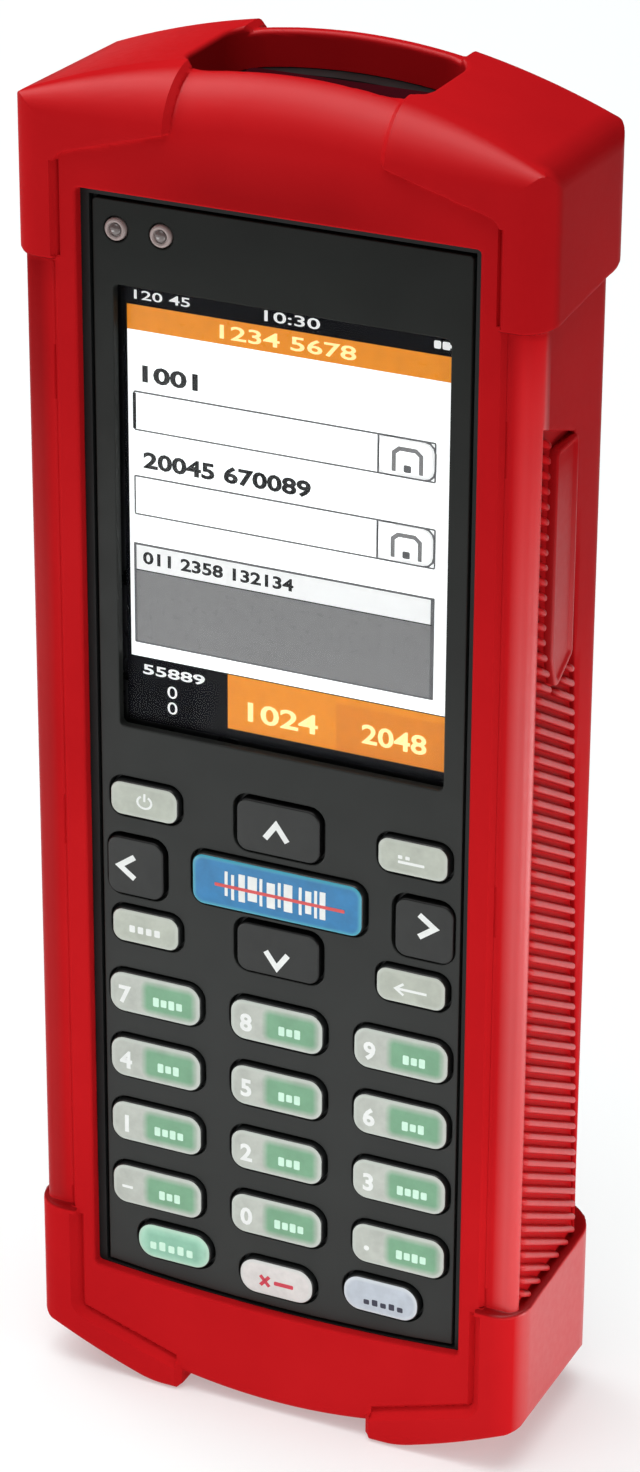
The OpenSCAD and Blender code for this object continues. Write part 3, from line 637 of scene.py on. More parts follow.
k = 1.0
half = steps(0.0, (4.8, 1.2), (7.2, 0.6 * k), (11.6, 1.1), (17.2, 0.42 * k), (21.0, 0.8 * k), (25.4, 1.0), (27.2, 0.3 * k),
             (28.5, 0.45), (31.2, 0.25 * k), (36.1, 0.5 * k))
BX = mirror_lines(half)
BY = steps(-15.0, (-11.7, 0.33 * k), (-4.2, 0.6 * k), (5.8, 1.25), (8.6, 0.5 * k), (10.2, 0.4), (15.0, 0.45 * k))
BZ = steps(-0.6, (13.0, 0.45 * k), (21.0, 0.55 * k), (27.5, 0.42 * k), (78.0, 4.2), (86.0, 0.9 * k), (139.6, 4.8),
           (147.4, 0.6 * k), (157.6, 3.0), (162.4, 0.45 * k), (166.2, 0.85 * k), (168.2, 0.35 * k), (171.4, 0.6 * k), (185.0, 0.42 * k))
boot = link("boot_shell", surface_of("boot_shell", boot_f, BX, BY, BZ, ((-35.4, -14.5, 0.0), (35.4, 14.5, 184.2))), BODY, MAT["boot_elastomer"])
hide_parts("boot")
print("boot faces", len(boot.data.polygons))


# ------------------------------------------------------------------ grip ribs and side marks


def side_x(y):
    """Top of the ribs, level with the rounding of the grip behind them."""
    return 34.62 - (6.0 - math.sqrt(max(36.0 - max(y - 5.8, 0.0) ** 2, 0.0)))


def rib_runs(i):
    """The stretches of one slanted rib along y, cut at the foot, the bare badge plate and the plain zone."""
    z0 = 27.65 + 1.965 * i
    y_a, y_b = -11.55, 7.2
    zt = lambda y: z0 - 0.56 * (y + 9.7)
    # under the foot's upper edge
    n = 260
    ys = [y_a + (y_b - y_a) * k / n for k in range(n + 1)]
    ok = []
    for y in ys:
        z = zt(y)
        good = z > foot_top(y) - 0.1 and z < field_top(y) - 0.7 and y < field_end(z)
        if 143.4 > z > plate_low(y) - 1.2 and -9.2 < y < 0.2:
            good = False
        ok.append(good)
    runs, start = [], None
    for k, g in enumerate(ok + [False]):
        if g and start is None:
            start = k
        if not g and start is not None:
            if ys[k - 1] - ys[start] > 0.9:
                runs.append((ys[start], ys[k - 1]))
            start = None
    return zt, runs


PLATE = [(-8.0, 142.4), (-8.0, 115.2), (-6.4, 110.4), (-1.1, 113.4), (-1.1, 142.4)]


def plate_low(y):
    """Lower edge of the badge plate."""
    return 115.2 - (y + 8.0) * 3.0 if y < -6.4 else 110.4 + (y + 6.4) * 0.566


def rib_mesh():
    verts, faces, norms = [], [], []
    m_sec = 8
    for s in (1, -1):
        for i in range(-3, 64):
            zt, runs = rib_runs(i)
            for ya, yb in runs:
                k_n = max(5, int((yb - ya) / 1.4) + 4)
                base = len(verts)
                ts = [0, 0.25, 0.6]
                span = yb - ya
                inner = [1.0 + (span - 2.0) * j / max(1, k_n - 5) for j in range(max(2, k_n - 4))] if span > 2.2 else [span / 2]
                path = [ya + t for t in ts] + [ya + t for t in inner] + [yb - t for t in reversed(ts)]
                for y in path:
                    e = min(y - ya, yb - y)
                    h = 0.12 + (side_x(y) - 33.57) * math.sqrt(max(0.0, 1 - (1 - min(e / 0.9, 1)) ** 2))
                    wz = 0.58 * (0.35 + 0.65 * math.sqrt(max(0.0, 1 - (1 - min(e / 0.9, 1)) ** 2)))
                    for j in range(m_sec + 1):
                        a = math.pi * j / m_sec
                        c, sn = math.cos(a), math.sin(a)
                        # a flattened arch
                        x = 33.45 + h * sn ** 0.6
                        z = zt(y) - wz * math.copysign(abs(c) ** 0.8, c)
                        verts.append((s * x, y, z))
                w = m_sec + 1
                for r in range(len(path) - 1):
                    for j in range(m_sec):
                        a, b = base + r * w + j, base + (r + 1) * w + j
                        f = (a, b, b + 1, a + 1)
                        faces.append(f if s > 0 else f[::-1])
                    a, b = base + r * w, base + (r + 1) * w
                    f = (a, a + m_sec, b + m_sec, b)
                    faces.append(f if s > 0 else f[::-1])
                f = tuple(base + j for j in range(w))
                faces.append(f if s > 0 else f[::-1])
                f = tuple(base + (len(path) - 1) * w + j for j in range(w))[::-1]
                faces.append(f if s > 0 else f[::-1])
    me = mesh_from("boot_ribs", verts, faces)
    smooth_by_angle(me, 50)
    return me


RIB_RED = boot_mat("boot_red_ribs", True)
ribs = link("boot_ribs", rib_mesh(), BODY, RIB_RED)

# a bare raised plate among the ribs on each side, with a pointed lower end
def rounded(points, inset, r, n=5):
    """A convex outline set in by a distance, with round corners of n + 1 points each."""
    p = [np.array(v) for v in inset_loop(points, inset)]
    out = []
    for a, b, c in zip(p[-1:] + p[:-1], p, p[1:] + p[:1]):
        u, v = (a - b) / np.linalg.norm(a - b), (c - b) / np.linalg.norm(c - b)
        half = math.acos(max(-1.0, min(1.0, float(np.dot(u, v))))) / 2
        t = r / math.tan(half)
        centre = b + (u + v) / np.linalg.norm(u + v) * r / math.sin(half)
        p0, p1 = b + u * t - centre, b + v * t - centre
        a0 = math.atan2(p0[1], p0[0])
        turn = (math.atan2(p1[1], p1[0]) - a0 + math.pi) % (2 * math.pi) - math.pi
        out += [(centre[0] + r * math.cos(a0 + turn * k / n), centre[1] + r * math.sin(a0 + turn * k / n)) for k in range(n + 1)]
    return out


for side_name, s in (("right", 1), ("left", -1)):
    verts, faces, starts = [], [], []
    for d, x in ((0.0, 33.4), (0.0, 34.44), (0.06, 34.58), (0.2, 34.68), (0.5, 34.7), (0.72, 34.6), (0.9, 34.42), (1.1, 34.37), (1.3, 34.36)):
        starts.append(len(verts))
        verts += [(s * x, a, b) for a, b in rounded(PLATE, d, max(1.0 - 0.6 * d, 0.2))]
    n = starts[1]
    for a, b in zip(starts, starts[1:]):
        for i in range(n):
            j = (i + 1) % n
            f = (a + i, a + j, b + j, b + i)
            faces.append(f if s > 0 else f[::-1])
    f = tuple(starts[-1] + i for i in range(n))
    faces.append(f if s > 0 else f[::-1])
    f = tuple(starts[0] + i for i in range(n))[::-1]
    faces.append(f if s > 0 else f[::-1])
    me = mesh_from("boot_side_plate_" + side_name, verts, faces)
    smooth_by_angle(me, 40)
    link("boot_side_plate_" + side_name, me, BODY, RIB_RED)

# ------------------------------------------------------------------ panel plate

KEYS = [
    ("key_scan", 0.0, 77.6, 24.0, 7.3, 1.7, -13.0), ("key_up", 0.0, 86.45, 11.6, 7.3, 1.6, -12.5),
    ("key_down", 0.0, 69.05, 11.6, 7.0, 1.6, -12.5), ("key_left", -20.3, 76.8, 8.0, 8.2, 1.6, -12.5),
    ("key_right", 20.3, 76.8, 8.0, 8.2, 1.6, -12.5), ("key_f1", -18.75, 86.7, 9.7, 4.9, 1.6, -13.0),
    ("key_f2", 18.75, 86.7, 9.7, 4.9, 1.6, -13.0), ("key_f3", -18.75, 68.4, 9.7, 4.9, 1.6, -13.0),
    ("key_f4", 18.75, 68.4, 9.7, 4.9, 1.6, -13.0),
]
for row_i, labels in enumerate((("minus", "0", "point"), ("1", "2", "3"), ("4", "5", "6"), ("7", "8", "9"))):
    for col_i, label in enumerate(labels):
        KEYS.append(("key_" + label, 17.5 * (col_i - 1), 29.4 + 9.7 * row_i, 13.3, 6.0, 2.05, -13.0))
KEYS += [("key_alpha", -15.1, 21.5, 10.8, 5.3, 2.4, -13.0), ("key_clear", 0.0, 20.1, 10.8, 5.3, 2.4, -13.0),
         ("key_shift", 15.1, 21.5, 10.8, 5.3, 2.4, -13.0)]

PANEL = [(-25.1, 16.8), (-19, 16.25), (-13, 15.9), (-6, 15.65), (0, 15.58), (6, 15.65), (13, 15.9), (19, 16.25), (25.1, 16.8),
         (25.1, 166.2), (24.7, 166.6), (-24.7, 166.6), (-25.1, 166.2)]
holes = [loop_rrect(0, 126.2, 44.8, 59.2, 0.8, n=5)]
for name, x, z, w, h, r, face in KEYS:
    if face > -12.9:
        # the gap round an arrow key is wide at its top and sides and narrow below
        g_l = 0.1 if x < -20 else 0.6
        g_r = 0.1 if x > 20 else 0.6
        x0, x1, z0, z1 = x - w / 2 - g_l, x + w / 2 + g_r, z - h / 2 - 0.22, z + h / 2 + 0.55
        holes.append(loop_rrect((x0 + x1) / 2, (z0 + z1) / 2, x1 - x0, z1 - z0, r + 0.5, n=6))
    elif name == "key_scan":
        holes.append(loop_rrect(x, z + 0.02, w + 0.9, h + 0.64, r + 0.4, n=6))
    else:
        gap = 0.3 if abs(x) > 17.4 and w > 13 else 0.38
        holes.append(loop_rrect(x, z, w + 2 * gap, h + 2 * gap, r + gap, n=7))
for x in (-21.9, -15.8):
    holes.append([(x + 1.62 * math.cos(a * math.pi / 14), 162.9 + 1.62 * math.sin(a * math.pi / 14)) for a in range(28)])
panel = link("panel_plate", plate("panel_plate", PANEL, holes, -12.1, -10.9, 0.16), BODY, MAT["panel_plastic"])
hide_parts("front_bezel")

# ------------------------------------------------------------------ keys


def key_y(face, d, crown=0.12, re=0.42, dm=2.3):
    """Depth of a key cap's surface at inset d from its outline."""
    if d < re:
        return face + crown + re * (1 - math.sqrt(max(0.0, 1 - (1 - max(d, 0.0) / re) ** 2)))
    return face + crown * (1 - min((d - re) / (dm - re), 1.0)) ** 2


def key_inset(key, x, z):
    _, cx, cz, w, h, r, _ = key
    qx, qz = abs(x - cx) - w / 2 + r, abs(z - cz) - h / 2 + r
    return -(min(max(qx, qz), 0.0) + math.hypot(max(qx, 0.0), max(qz, 0.0)) - r)


def key_shape(key):
    if key[6] > -12.9:
        return dict(crown=0.06, re=0.28, dm=3.0)
    if key[0] == "key_scan":
        return dict(crown=0.14, re=0.5, dm=3.0)
    return dict(crown=0.16, re=0.5, dm=2.3)


def key_mesh(key):
    name, cx, cz, w, h, r, face = key
    shape = key_shape(key)
    dmax = min(w, h) / 2 - 0.25
    ds = [d for d in (dmax, 2.5, 2.0, 1.6, 1.2, 0.9, 0.7, 0.55, 0.42, 0.32, 0.24, 0.175, 0.165, 0.1, 0.05, 0.015, 0.0) if d <= dmax]
    rings = [(loop_rrect(cx, cz, w, h, r, inset=d, n=9, edge=3), key_y(face, d, **shape)) for d in ds]
    tops = [1.0 if d >= 0.17 else 0.0 for d in ds]
    side = 1 if cx > 20 else (-1 if cx < -20 else 0)
    rings.append((loop_rrect(cx, cz, w, h, r, n=9, edge=3), -10.84))
    fw = w + (1.2 if side == 0 else 0.6)
    for ins, y in ((0.08, -10.8), (0.0, -10.74), (0.0, -10.26), (0.06, -10.2)):
        rings.append((loop_rrect(cx - side * 0.3, cz, fw, h + 1.2, r + 0.3, inset=ins, n=9, edge=3), y))
    tops += [0.0] * 5
    verts, faces = ring_solid(rings)
    n = len(rings[0][0])
    top, inset = [], []
    for t, d in zip(tops, ds + [0.0] * 5):
        top += [t] * n
        inset += [d] * n
    # plunger over the snap dome
    base, seg = len(verts), 20
    for rr, y in ((1.2, -10.25), (1.2, -9.45), (1.1, -9.35)):
        verts += [(cx + rr * math.cos(2 * math.pi * k / seg), y, cz + rr * math.sin(2 * math.pi * k / seg)) for k in range(seg)]
    for a in (0, 1):
        for k in range(seg):
            j = (k + 1) % seg
            faces.append((base + a * seg + k, base + a * seg + j, base + (a + 1) * seg + j, base + (a + 1) * seg + k))
    faces.append(tuple(base + k for k in range(seg))[::-1])
    faces.append(tuple(base + 2 * seg + k for k in range(seg))[::-1])
    top += [0.0] * (3 * seg)
    inset += [0.0] * (3 * seg)
    me = mesh_from(name + "_cap", verts, faces)
    smooth_by_angle(me, 40)
    a = me.attributes.new("top", "FLOAT", "POINT")
    a.data.foreach_set("value", np.array(top, np.float32))
    a = me.attributes.new("place", "FLOAT_VECTOR", "POINT")
    v = np.array(verts)
    a.data.foreach_set("vector", np.stack([v[:, 0] - cx, v[:, 2] - cz, np.array(inset)], 1).astype(np.float32).ravel())
    return me


def key_mat(name, base, patch=None, box=None, rim_highlight=None, rough=(0.3, 0.38), spec=0.45, side_col=(0.012, 0.013, 0.013)):
    """A cap with a dark skirt, a painted top, perhaps a tinted patch (box: x0, x1, z0, z1 in the key's own millimetres)
    and perhaps a lighter rim along its rounded edge, which is a painted highlight.
    """
    mat = bpy.data.materials.new(name)
    nt, p = nodes_of(mat)
    place = nt.nodes.new("ShaderNodeAttribute")
    place.attribute_name = "place"
    sep = nt.nodes.new("ShaderNodeSeparateXYZ")
    nt.links.new(place.outputs["Vector"], sep.inputs[0])
    top = nt.nodes.new("ShaderNodeAttribute")
    top.attribute_name = "top"
    cloud = noise(nt, 420.0, 3.0, 0.6)
    face = ramp(nt, cloud, [(0.3, tuple(v * 0.88 for v in base)), (0.7, tuple(min(1, v * 1.1) for v in base))])

    def mix(fac, a, b):
        n = nt.nodes.new("ShaderNodeMix")
        n.data_type = "RGBA"
        nt.links.new(fac, n.inputs[0])
        for sock, v in ((n.inputs[6], a), (n.inputs[7], b)):
            if hasattr(v, "is_output"):
                nt.links.new(v, sock)
            else:
                sock.default_value = (*v, 1)
        return n.outputs[2]

    def math_node(op, a, b):
        n = nt.nodes.new("ShaderNodeMath")
        n.operation = op
        for sock, v in ((n.inputs[0], a), (n.inputs[1], b)):
            if hasattr(v, "is_output"):
                nt.links.new(v, sock)
            else:
                sock.default_value = v
        return n.outputs[0]

    if patch is not None:
        x0, x1, z0, z1 = box
        # distance into a rounded box, with a soft edge
        dx = math_node("SUBTRACT", math_node("ABSOLUTE", math_node("SUBTRACT", sep.outputs[0], (x0 + x1) / 2), 0), (x1 - x0) / 2 - 0.8)
        dz = math_node("SUBTRACT", math_node("ABSOLUTE", math_node("SUBTRACT", sep.outputs[1], (z0 + z1) / 2), 0), (z1 - z0) / 2 - 0.8)
        dx, dz = math_node("MAXIMUM", dx, 0.0), math_node("MAXIMUM", dz, 0.0)
        dist = math_node("SQRT", math_node("ADD", math_node("MULTIPLY", dx, dx), math_node("MULTIPLY", dz, dz)), 0)
        inside = maprange(nt, dist, 1.35, 0.35, 0.0, 1.0)
        tint = ramp(nt, cloud, [(0.3, tuple(v * 0.86 for v in patch)), (0.7, patch)])
        face = mix(inside, face, tint)
    # a lighter colour near the cap's rounded edge, a painted highlight
    if rim_highlight is not None:
        edge = maprange(nt, sep.outputs[2], 0.75, 0.3, 0.0, 1.0)
        face = mix(edge, face, rim_highlight)
    col = mix(top.outputs["Fac"], side_col, face)
    nt.links.new(col, p.inputs["Base Color"])
    nt.links.new(maprange(nt, noise(nt, 800.0, 2.0), 0.3, 0.7, *rough), p.inputs["Roughness"])
    nt.links.new(bump(nt, noise(nt, 2600.0, 2.0), 0.2, 0.000012), p.inputs["Normal"])
    p.inputs["Specular IOR Level"].default_value = spec
    return mat


SILVER = (0.50, 0.525, 0.475)
GREEN = (0.20, 0.42, 0.255)
KMAT = {
    "key_number": key_mat("key_number", SILVER, GREEN, (-1.5, 5.7, -2.0, 2.1), rim_highlight=(0.56, 0.60, 0.55)),
    "key_grey": key_mat("key_grey", (0.48, 0.51, 0.44), rim_highlight=(0.55, 0.58, 0.52)),
    "key_dark": key_mat("key_dark", (0.020, 0.021, 0.020), rough=(0.38, 0.46), spec=0.34, side_col=(0.004, 0.004, 0.004)),
    "key_blue": key_mat("key_blue", (0.022, 0.20, 0.44), rim_highlight=(0.07, 0.38, 0.50), rough=(0.28, 0.36)),
    "key_mint": key_mat("key_mint", (0.38, 0.67, 0.51), (0.28, 0.57, 0.41), (-3.9, 3.9, -1.7, 1.6), rim_highlight=(0.48, 0.70, 0.56)),
    "key_white": key_mat("key_white", (0.70, 0.66, 0.64), rim_highlight=(0.66, 0.66, 0.64)),
    "key_pale": key_mat("key_pale", (0.50, 0.545, 0.61), rim_highlight=(0.64, 0.68, 0.72)),
}
KEY_SLOT = {"key_scan": "key_blue", "key_alpha": "key_mint", "key_clear": "key_white", "key_shift": "key_pale"}
for n in ("key_up", "key_down", "key_left", "key_right"):
    KEY_SLOT[n] = "key_dark"
for n in ("key_f1", "key_f2", "key_f3", "key_f4"):
    KEY_SLOT[n] = "key_grey"

INK = {
    "white": print_mat("ink_white", (0.86, 0.88, 0.86)),
    "mint": print_mat("ink_mint", (0.66, 0.93, 0.76)),
    "red": print_mat("ink_red", (0.62, 0.05, 0.08)),
    "redline": print_mat("ink_red_line", (0.72, 0.10, 0.10)),
    "dark": print_mat("ink_dark", (0.045, 0.045, 0.07)),
    "grey": print_mat("ink_grey", (0.74, 0.75, 0.71)),
}


def text_shape(body, size, bold=0.0):
    """Outline mesh of digits as (points, faces), centred, at that height in mm; two layers, front first."""
    cu = bpy.data.curves.new("t", "FONT")
    cu.body = body
    cu.size = 1.0
    cu.resolution_u = 3
    cu.extrude = 0.0
    cu.offset = bold
    ob = bpy.data.objects.new("t", cu)
    COL.objects.link(ob)
    bpy.context.view_layer.update()
    me = bpy.data.meshes.new_from_object(ob.evaluated_get(bpy.context.evaluated_depsgraph_get()))
    co = np.array([v.co for v in me.vertices], float).reshape(-1, 3)[:, :2]
    faces = [list(f.vertices) for f in me.polygons]
    bpy.data.objects.remove(ob)
    bpy.data.curves.remove(cu)
    bpy.data.meshes.remove(me)
    lo, hi = co.min(0), co.max(0)
    co = (co - (lo + hi) / 2) * (size / 0.73)
    return co, faces


def sheet_solid(points, faces, depth, thick):
    """Closed thin solid of a flat outline mesh in x-z; depth(x, z) gives its front."""
    pts = np.asarray(points, float)
    keys, inv = np.unique(np.round(pts, 5), axis=0, return_inverse=True)
    inv = np.asarray(inv).reshape(-1)
    faces = [[int(inv[i]) for i in f] for f in faces]
    pts = keys
    out = []
    for f in faces:
        g = [f[i] for i in range(len(f)) if f[i] != f[i - 1]]
        if len(set(g)) >= 3:
            out.append(g)
    verts = [(x, depth(x, z), z) for x, z in pts] + [(x, depth(x, z) + thick, z) for x, z in pts]
    n = len(pts)
    res, edges = [], {}
    for f in out:
        area2 = sum(pts[f[i - 1]][0] * pts[f[i]][1] - pts[f[i]][0] * pts[f[i - 1]][1] for i in range(len(f)))
        if area2 < 0:
            f = f[::-1]
        res.append(tuple(f))
        res.append(tuple(n + i for i in f[::-1]))
        for i in range(len(f)):
            edges[(f[i - 1], f[i])] = edges.get((f[i - 1], f[i]), 0) + 1
    for (a, b) in edges:
        if (b, a) not in edges:
            res.append((a, n + a, n + b, b))
    return verts, res


def diced(points, faces, step=0.45):
    """A flat outline mesh cut on a grid, so that it can follow a crowned cap."""
    pts, inv = np.unique(np.round(np.asarray(points, float), 5), axis=0, return_inverse=True)
    inv = np.asarray(inv).reshape(-1)
    bm = bmesh.new()
    vs = [bm.verts.new((x, z, 0.0)) for x, z in pts]
    for f in faces:
        ring = [int(inv[i]) for i in f]
        ring = [ring[i] for i in range(len(ring)) if ring[i] != ring[i - 1]]
        if len(set(ring)) == len(ring) >= 3 and bm.faces.get([vs[i] for i in ring]) is None:
            bm.faces.new([vs[i] for i in ring])
    for axis in (0, 1):
        at = math.ceil(pts[:, axis].min() / step) * step
        while at < pts[:, axis].max():
            co, no = [0.0, 0.0, 0.0], [0.0, 0.0, 0.0]
            co[axis], no[axis] = at, 1.0
            bmesh.ops.bisect_plane(bm, geom=bm.verts[:] + bm.edges[:] + bm.faces[:], dist=1e-5, plane_co=co, plane_no=no)
            at += step
    bm.verts.index_update()
    pts = [(v.co.x, v.co.y) for v in bm.verts]
    faces = [[v.index for v in f.verts] for f in bm.faces]
    bm.free()
    return pts, faces


def on_key(key, name, parts, ink):
    """Printed marks on a cap, one closed thin solid each; parts are (points, faces) in the key's own millimetres."""
    _, cx, cz, w, h, r, face = key
    shape = key_shape(key)
    verts, faces = [], []
    for pts, fs in parts:
        pts, fs = diced(pts, fs)
        v, f = sheet_solid(np.asarray(pts, float) + (cx, cz), fs, lambda x, z: key_y(face, key_inset(key, x, z), **shape) - 0.025, 0.06)
        faces += [tuple(i + len(verts) for i in g) for g in f]
        verts += v
    me = mesh_from(name, verts, faces, smooth=False)
    return link(name, me, key[0], INK[ink])


def bar(x0, x1, z0, z1, r=0.0):
    r = min(r, (x1 - x0) / 2 - 0.01, (z1 - z0) / 2 - 0.01)
    pts = loop_rrect((x0 + x1) / 2, (z0 + z1) / 2, x1 - x0, z1 - z0, max(r, 0.01), n=4)
    return pts, [list(range(len(pts)))]


def stroke(path, width):
    """A polyline with square ends and mitred corners, as quads."""
    p = np.array(path, float)
    left, rgt = [], []
    for i in range(len(p)):
        a = unit((p[i] - p[i - 1])[None])[0] if i > 0 else None
        b = unit((p[i + 1] - p[i])[None])[0] if i < len(p) - 1 else None
        d = a if b is None else (b if a is None else a + b)
        d = d / np.linalg.norm(d)
        nrm = np.array([-d[1], d[0]])
        ref = a if a is not None else b
        s = width / 2 / max(0.4, abs(np.dot(nrm, np.array([-ref[1], ref[0]]))))
        left.append(p[i] + nrm * s)
        rgt.append(p[i] - nrm * s)
    n = len(p)
    pts = [tuple(v) for v in left + rgt]
    return pts, [[i, i + 1, n + i + 1, n + i][::-1] for i in range(n - 1)]


KEY = {k[0]: k for k in KEYS}
for key in KEYS:
    slot_name = KEY_SLOT.get(key[0], "key_number")
    cap = link(key[0] + "_cap", key_mesh(key), key[0], KMAT[slot_name])
    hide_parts(key[0])

# digits, and plain dashes on the green patch
DASHES = {"7": 4, "8": 3, "9": 3, "4": 3, "5": 3, "6": 3, "1": 4, "2": 3, "3": 4, "minus": 3, "0": 4, "point": 4}
for label, n_dash in DASHES.items():
    key = KEY["key_" + label]
    if label == "minus":
        parts = [bar(-5.1, -3.5, -0.45, -0.05, 0.1)]
    elif label == "point":
        parts = [bar(-4.75, -4.0, -0.9, -0.15, 0.36)]
    else:
        co, fs = text_shape(label, 2.5, 0.035)
        parts = [(co + (-4.25, -0.25), fs)]
    on_key(key, key[0] + "_digit", parts, "white")
    step = 1.12
    x_a = 1.95 - n_dash * step / 2
    parts = []
    for i in range(n_dash):
        tall = 0.66 if (i + len(label)) % 2 else 0.54
        parts.append(bar(x_a + i * step + 0.14, x_a + (i + 1) * step - 0.14, -0.35 - tall, -0.35 + tall, 0.16))
    on_key(key, key[0] + "_dashes", parts, "mint")

# arrows
for name, turn in (("key_up", 0), ("key_left", 90), ("key_down", 180), ("key_right", 270)):
    key = KEY[name]
    a = math.radians(turn)
    pts, fs = stroke([(-1.55, -1.1), (0.0, 1.05), (1.55, -1.1)], 0.78)
    rot = [(x * math.cos(a) - z * math.sin(a), x * math.sin(a) + z * math.cos(a)) for x, z in pts]
    off = {"key_up": (-0.2, -0.2), "key_down": (-0.1, -1.1), "key_left": (-1.15, 0.0), "key_right": (0.45, 0.7)}[name]
    on_key(key, name + "_arrow", [([(x + off[0], z + off[1]) for x, z in rot], fs)], "white")

# the scan key's bars and the beam line across them
key = KEY["key_scan"]
bars, x = [], -7.2
for i, (bw, gap) in enumerate([(0.42, 0.5), (0.42, 0.62), (0.9, 0.4), (1.3, 0.36), (0.4, 0.62), (1.15, 0.4), (0.42, 0.42), (1.2, 0.9), (0.4, 0.5), (0.85, 0.4), (0.4, 0.36), (0.8, 0.3)]):
    bars.append(bar(x, x + bw, -2.0 + (0.4 if i % 3 == 0 else 0.0), 1.9 - (0.3 if i % 4 == 1 else 0.0), 0.05))
    x += bw + gap
on_key(key, "key_scan_bars", bars, "white")
pts, fs = bar(-8.6, 9.6, -0.4, 0.05, 0.1)
v, f = sheet_solid(np.asarray(pts) + (key[1], key[2]), fs, lambda x, z: key_y(key[6], key_inset(key, x, z), **key_shape(key)) - 0.045, 0.05)
link("key_scan_line", mesh_from("key_scan_line", v, f, smooth=False), "key_scan", INK["redline"])

# plain marks on the other keys
on_key(KEY["key_f1"], "key_f1_mark", [stroke([(1.0 * math.cos(math.radians(t)) + 0.2, 0.85 * math.sin(math.radians(t)) + 0.1) for t in range(120, 421, 20)], 0.3), bar(0.05, 0.35, 0.2, 1.3, 0.05)], "white")
on_key(KEY["key_f2"], "key_f2_mark", [bar(-1.9, 1.7, -0.75, -0.35, 0.1), bar(-1.9, -1.3, -0.1, 0.4, 0.1), bar(-0.9, -0.3, -0.1, 0.4, 0.1)], "white")
on_key(KEY["key_f3"], "key_f3_mark", [bar(-2.2, -1.4, -0.7, 0.3, 0.15), bar(-1.0, -0.2, -0.7, 0.3, 0.15), bar(0.2, 1.0, -0.7, 0.3, 0.15), bar(1.4, 2.2, -0.7, 0.3, 0.15)], "white")
on_key(KEY["key_f4"], "key_f4_mark", [stroke([(-1.7, -0.2), (2.3, -0.2)], 0.36), stroke([(-0.9, -1.0), (-2.0, -0.2), (-0.9, 0.6)], 0.34)], "white")
on_key(KEY["key_alpha"], "key_alpha_mark", [bar(-3.4 + 1.35 * i, -2.5 + 1.35 * i, -1.05, 0.05 + 0.25 * (i % 2), 0.18) for i in range(5)], "mint")
on_key(KEY["key_clear"], "key_clear_mark", [stroke([(-2.2, -1.0), (-0.9, 0.5)], 0.5), stroke([(-2.2, 0.5), (-0.9, -1.0)], 0.5), bar(-0.2, 2.6, -0.55, 0.05, 0.15)], "red")
on_key(KEY["key_shift"], "key_shift_mark", [bar(-2.3 + 1.2 * i, -1.5 + 1.2 * i, -1.25, -0.5 + 0.2 * (i % 2), 0.15) for i in range(5)], "dark")

# ------------------------------------------------------------------ screen

UI = {
    "white": print_mat("screen_white", (0.80, 0.81, 0.81), glow=0.95, rough=0.3),
    "black": print_mat("screen_black", (0.003, 0.003, 0.006), rough=0.3, spec=0.03),
    "orange": print_mat("screen_orange", (0.545, 0.172, 0.003), glow=0.93, rough=0.3),
    "orange_dim": print_mat("screen_orange_deep", (0.50, 0.145, 0.002), glow=0.9, rough=0.3),
    "cream": print_mat("screen_cream", (0.95, 0.62, 0.28), glow=0.95, rough=0.3),
    "grey": print_mat("screen_grey", (0.137, 0.135, 0.137), glow=0.95, rough=0.3),
    "light": print_mat("screen_light", (0.60, 0.60, 0.60), glow=0.95, rough=0.3),
    "line": print_mat("screen_line", (0.10, 0.10, 0.105), glow=0.6, rough=0.3),
    "ink": print_mat("screen_ink", (0.006, 0.006, 0.008), rough=0.3),
}
ui_parts = {k: ([], []) for k in UI}


def ui(parts, mat, layer):
    y = -9.905 - 0.012 * layer
    for pts, fs in parts:
        v, f = sheet_solid(np.asarray(pts, float) + (0.0, 0.3), fs, lambda x, z: y, 0.010)
        verts, faces = ui_parts[mat]
        faces += [tuple(i + len(verts) for i in g) for g in f]
        verts += v


def ui_text(body, x0, z0, x1, z1, mat, layer, bold=0.0):
    """Digits set to fill a box."""
    co, fs = text_shape(body, 1.0, bold)
    span = co.max(0) - co.min(0)
    co = co / span * (x1 - x0, z1 - z0) + ((x0 + x1) / 2, (z0 + z1) / 2)
    ui([(co, fs)], mat, layer)


def frame_of(x0, x1, z0, z1, w, r=0.3, mat="line", layer=2, fill="white"):
    ui([bar(x0, x1, z0, z1, r)], mat, layer)
    ui([bar(x0 + w, x1 - w, z0 + w, z1 - w, max(r - w, 0.02))], fill, layer + 1)


ui([bar(-22.2, 22.2, 96.6, 155.3)], "black", 0)
ui([bar(-21.6, 22.1, 105.5, 149.25)], "white", 1)
ui([bar(-21.6, 22.1, 149.25, 152.5)], "orange", 1)
ui([bar(-8.1, 22.0, 97.9, 105.35)], "orange", 1)
ui([bar(6.9, 22.0, 97.9, 104.4)], "orange_dim", 2)
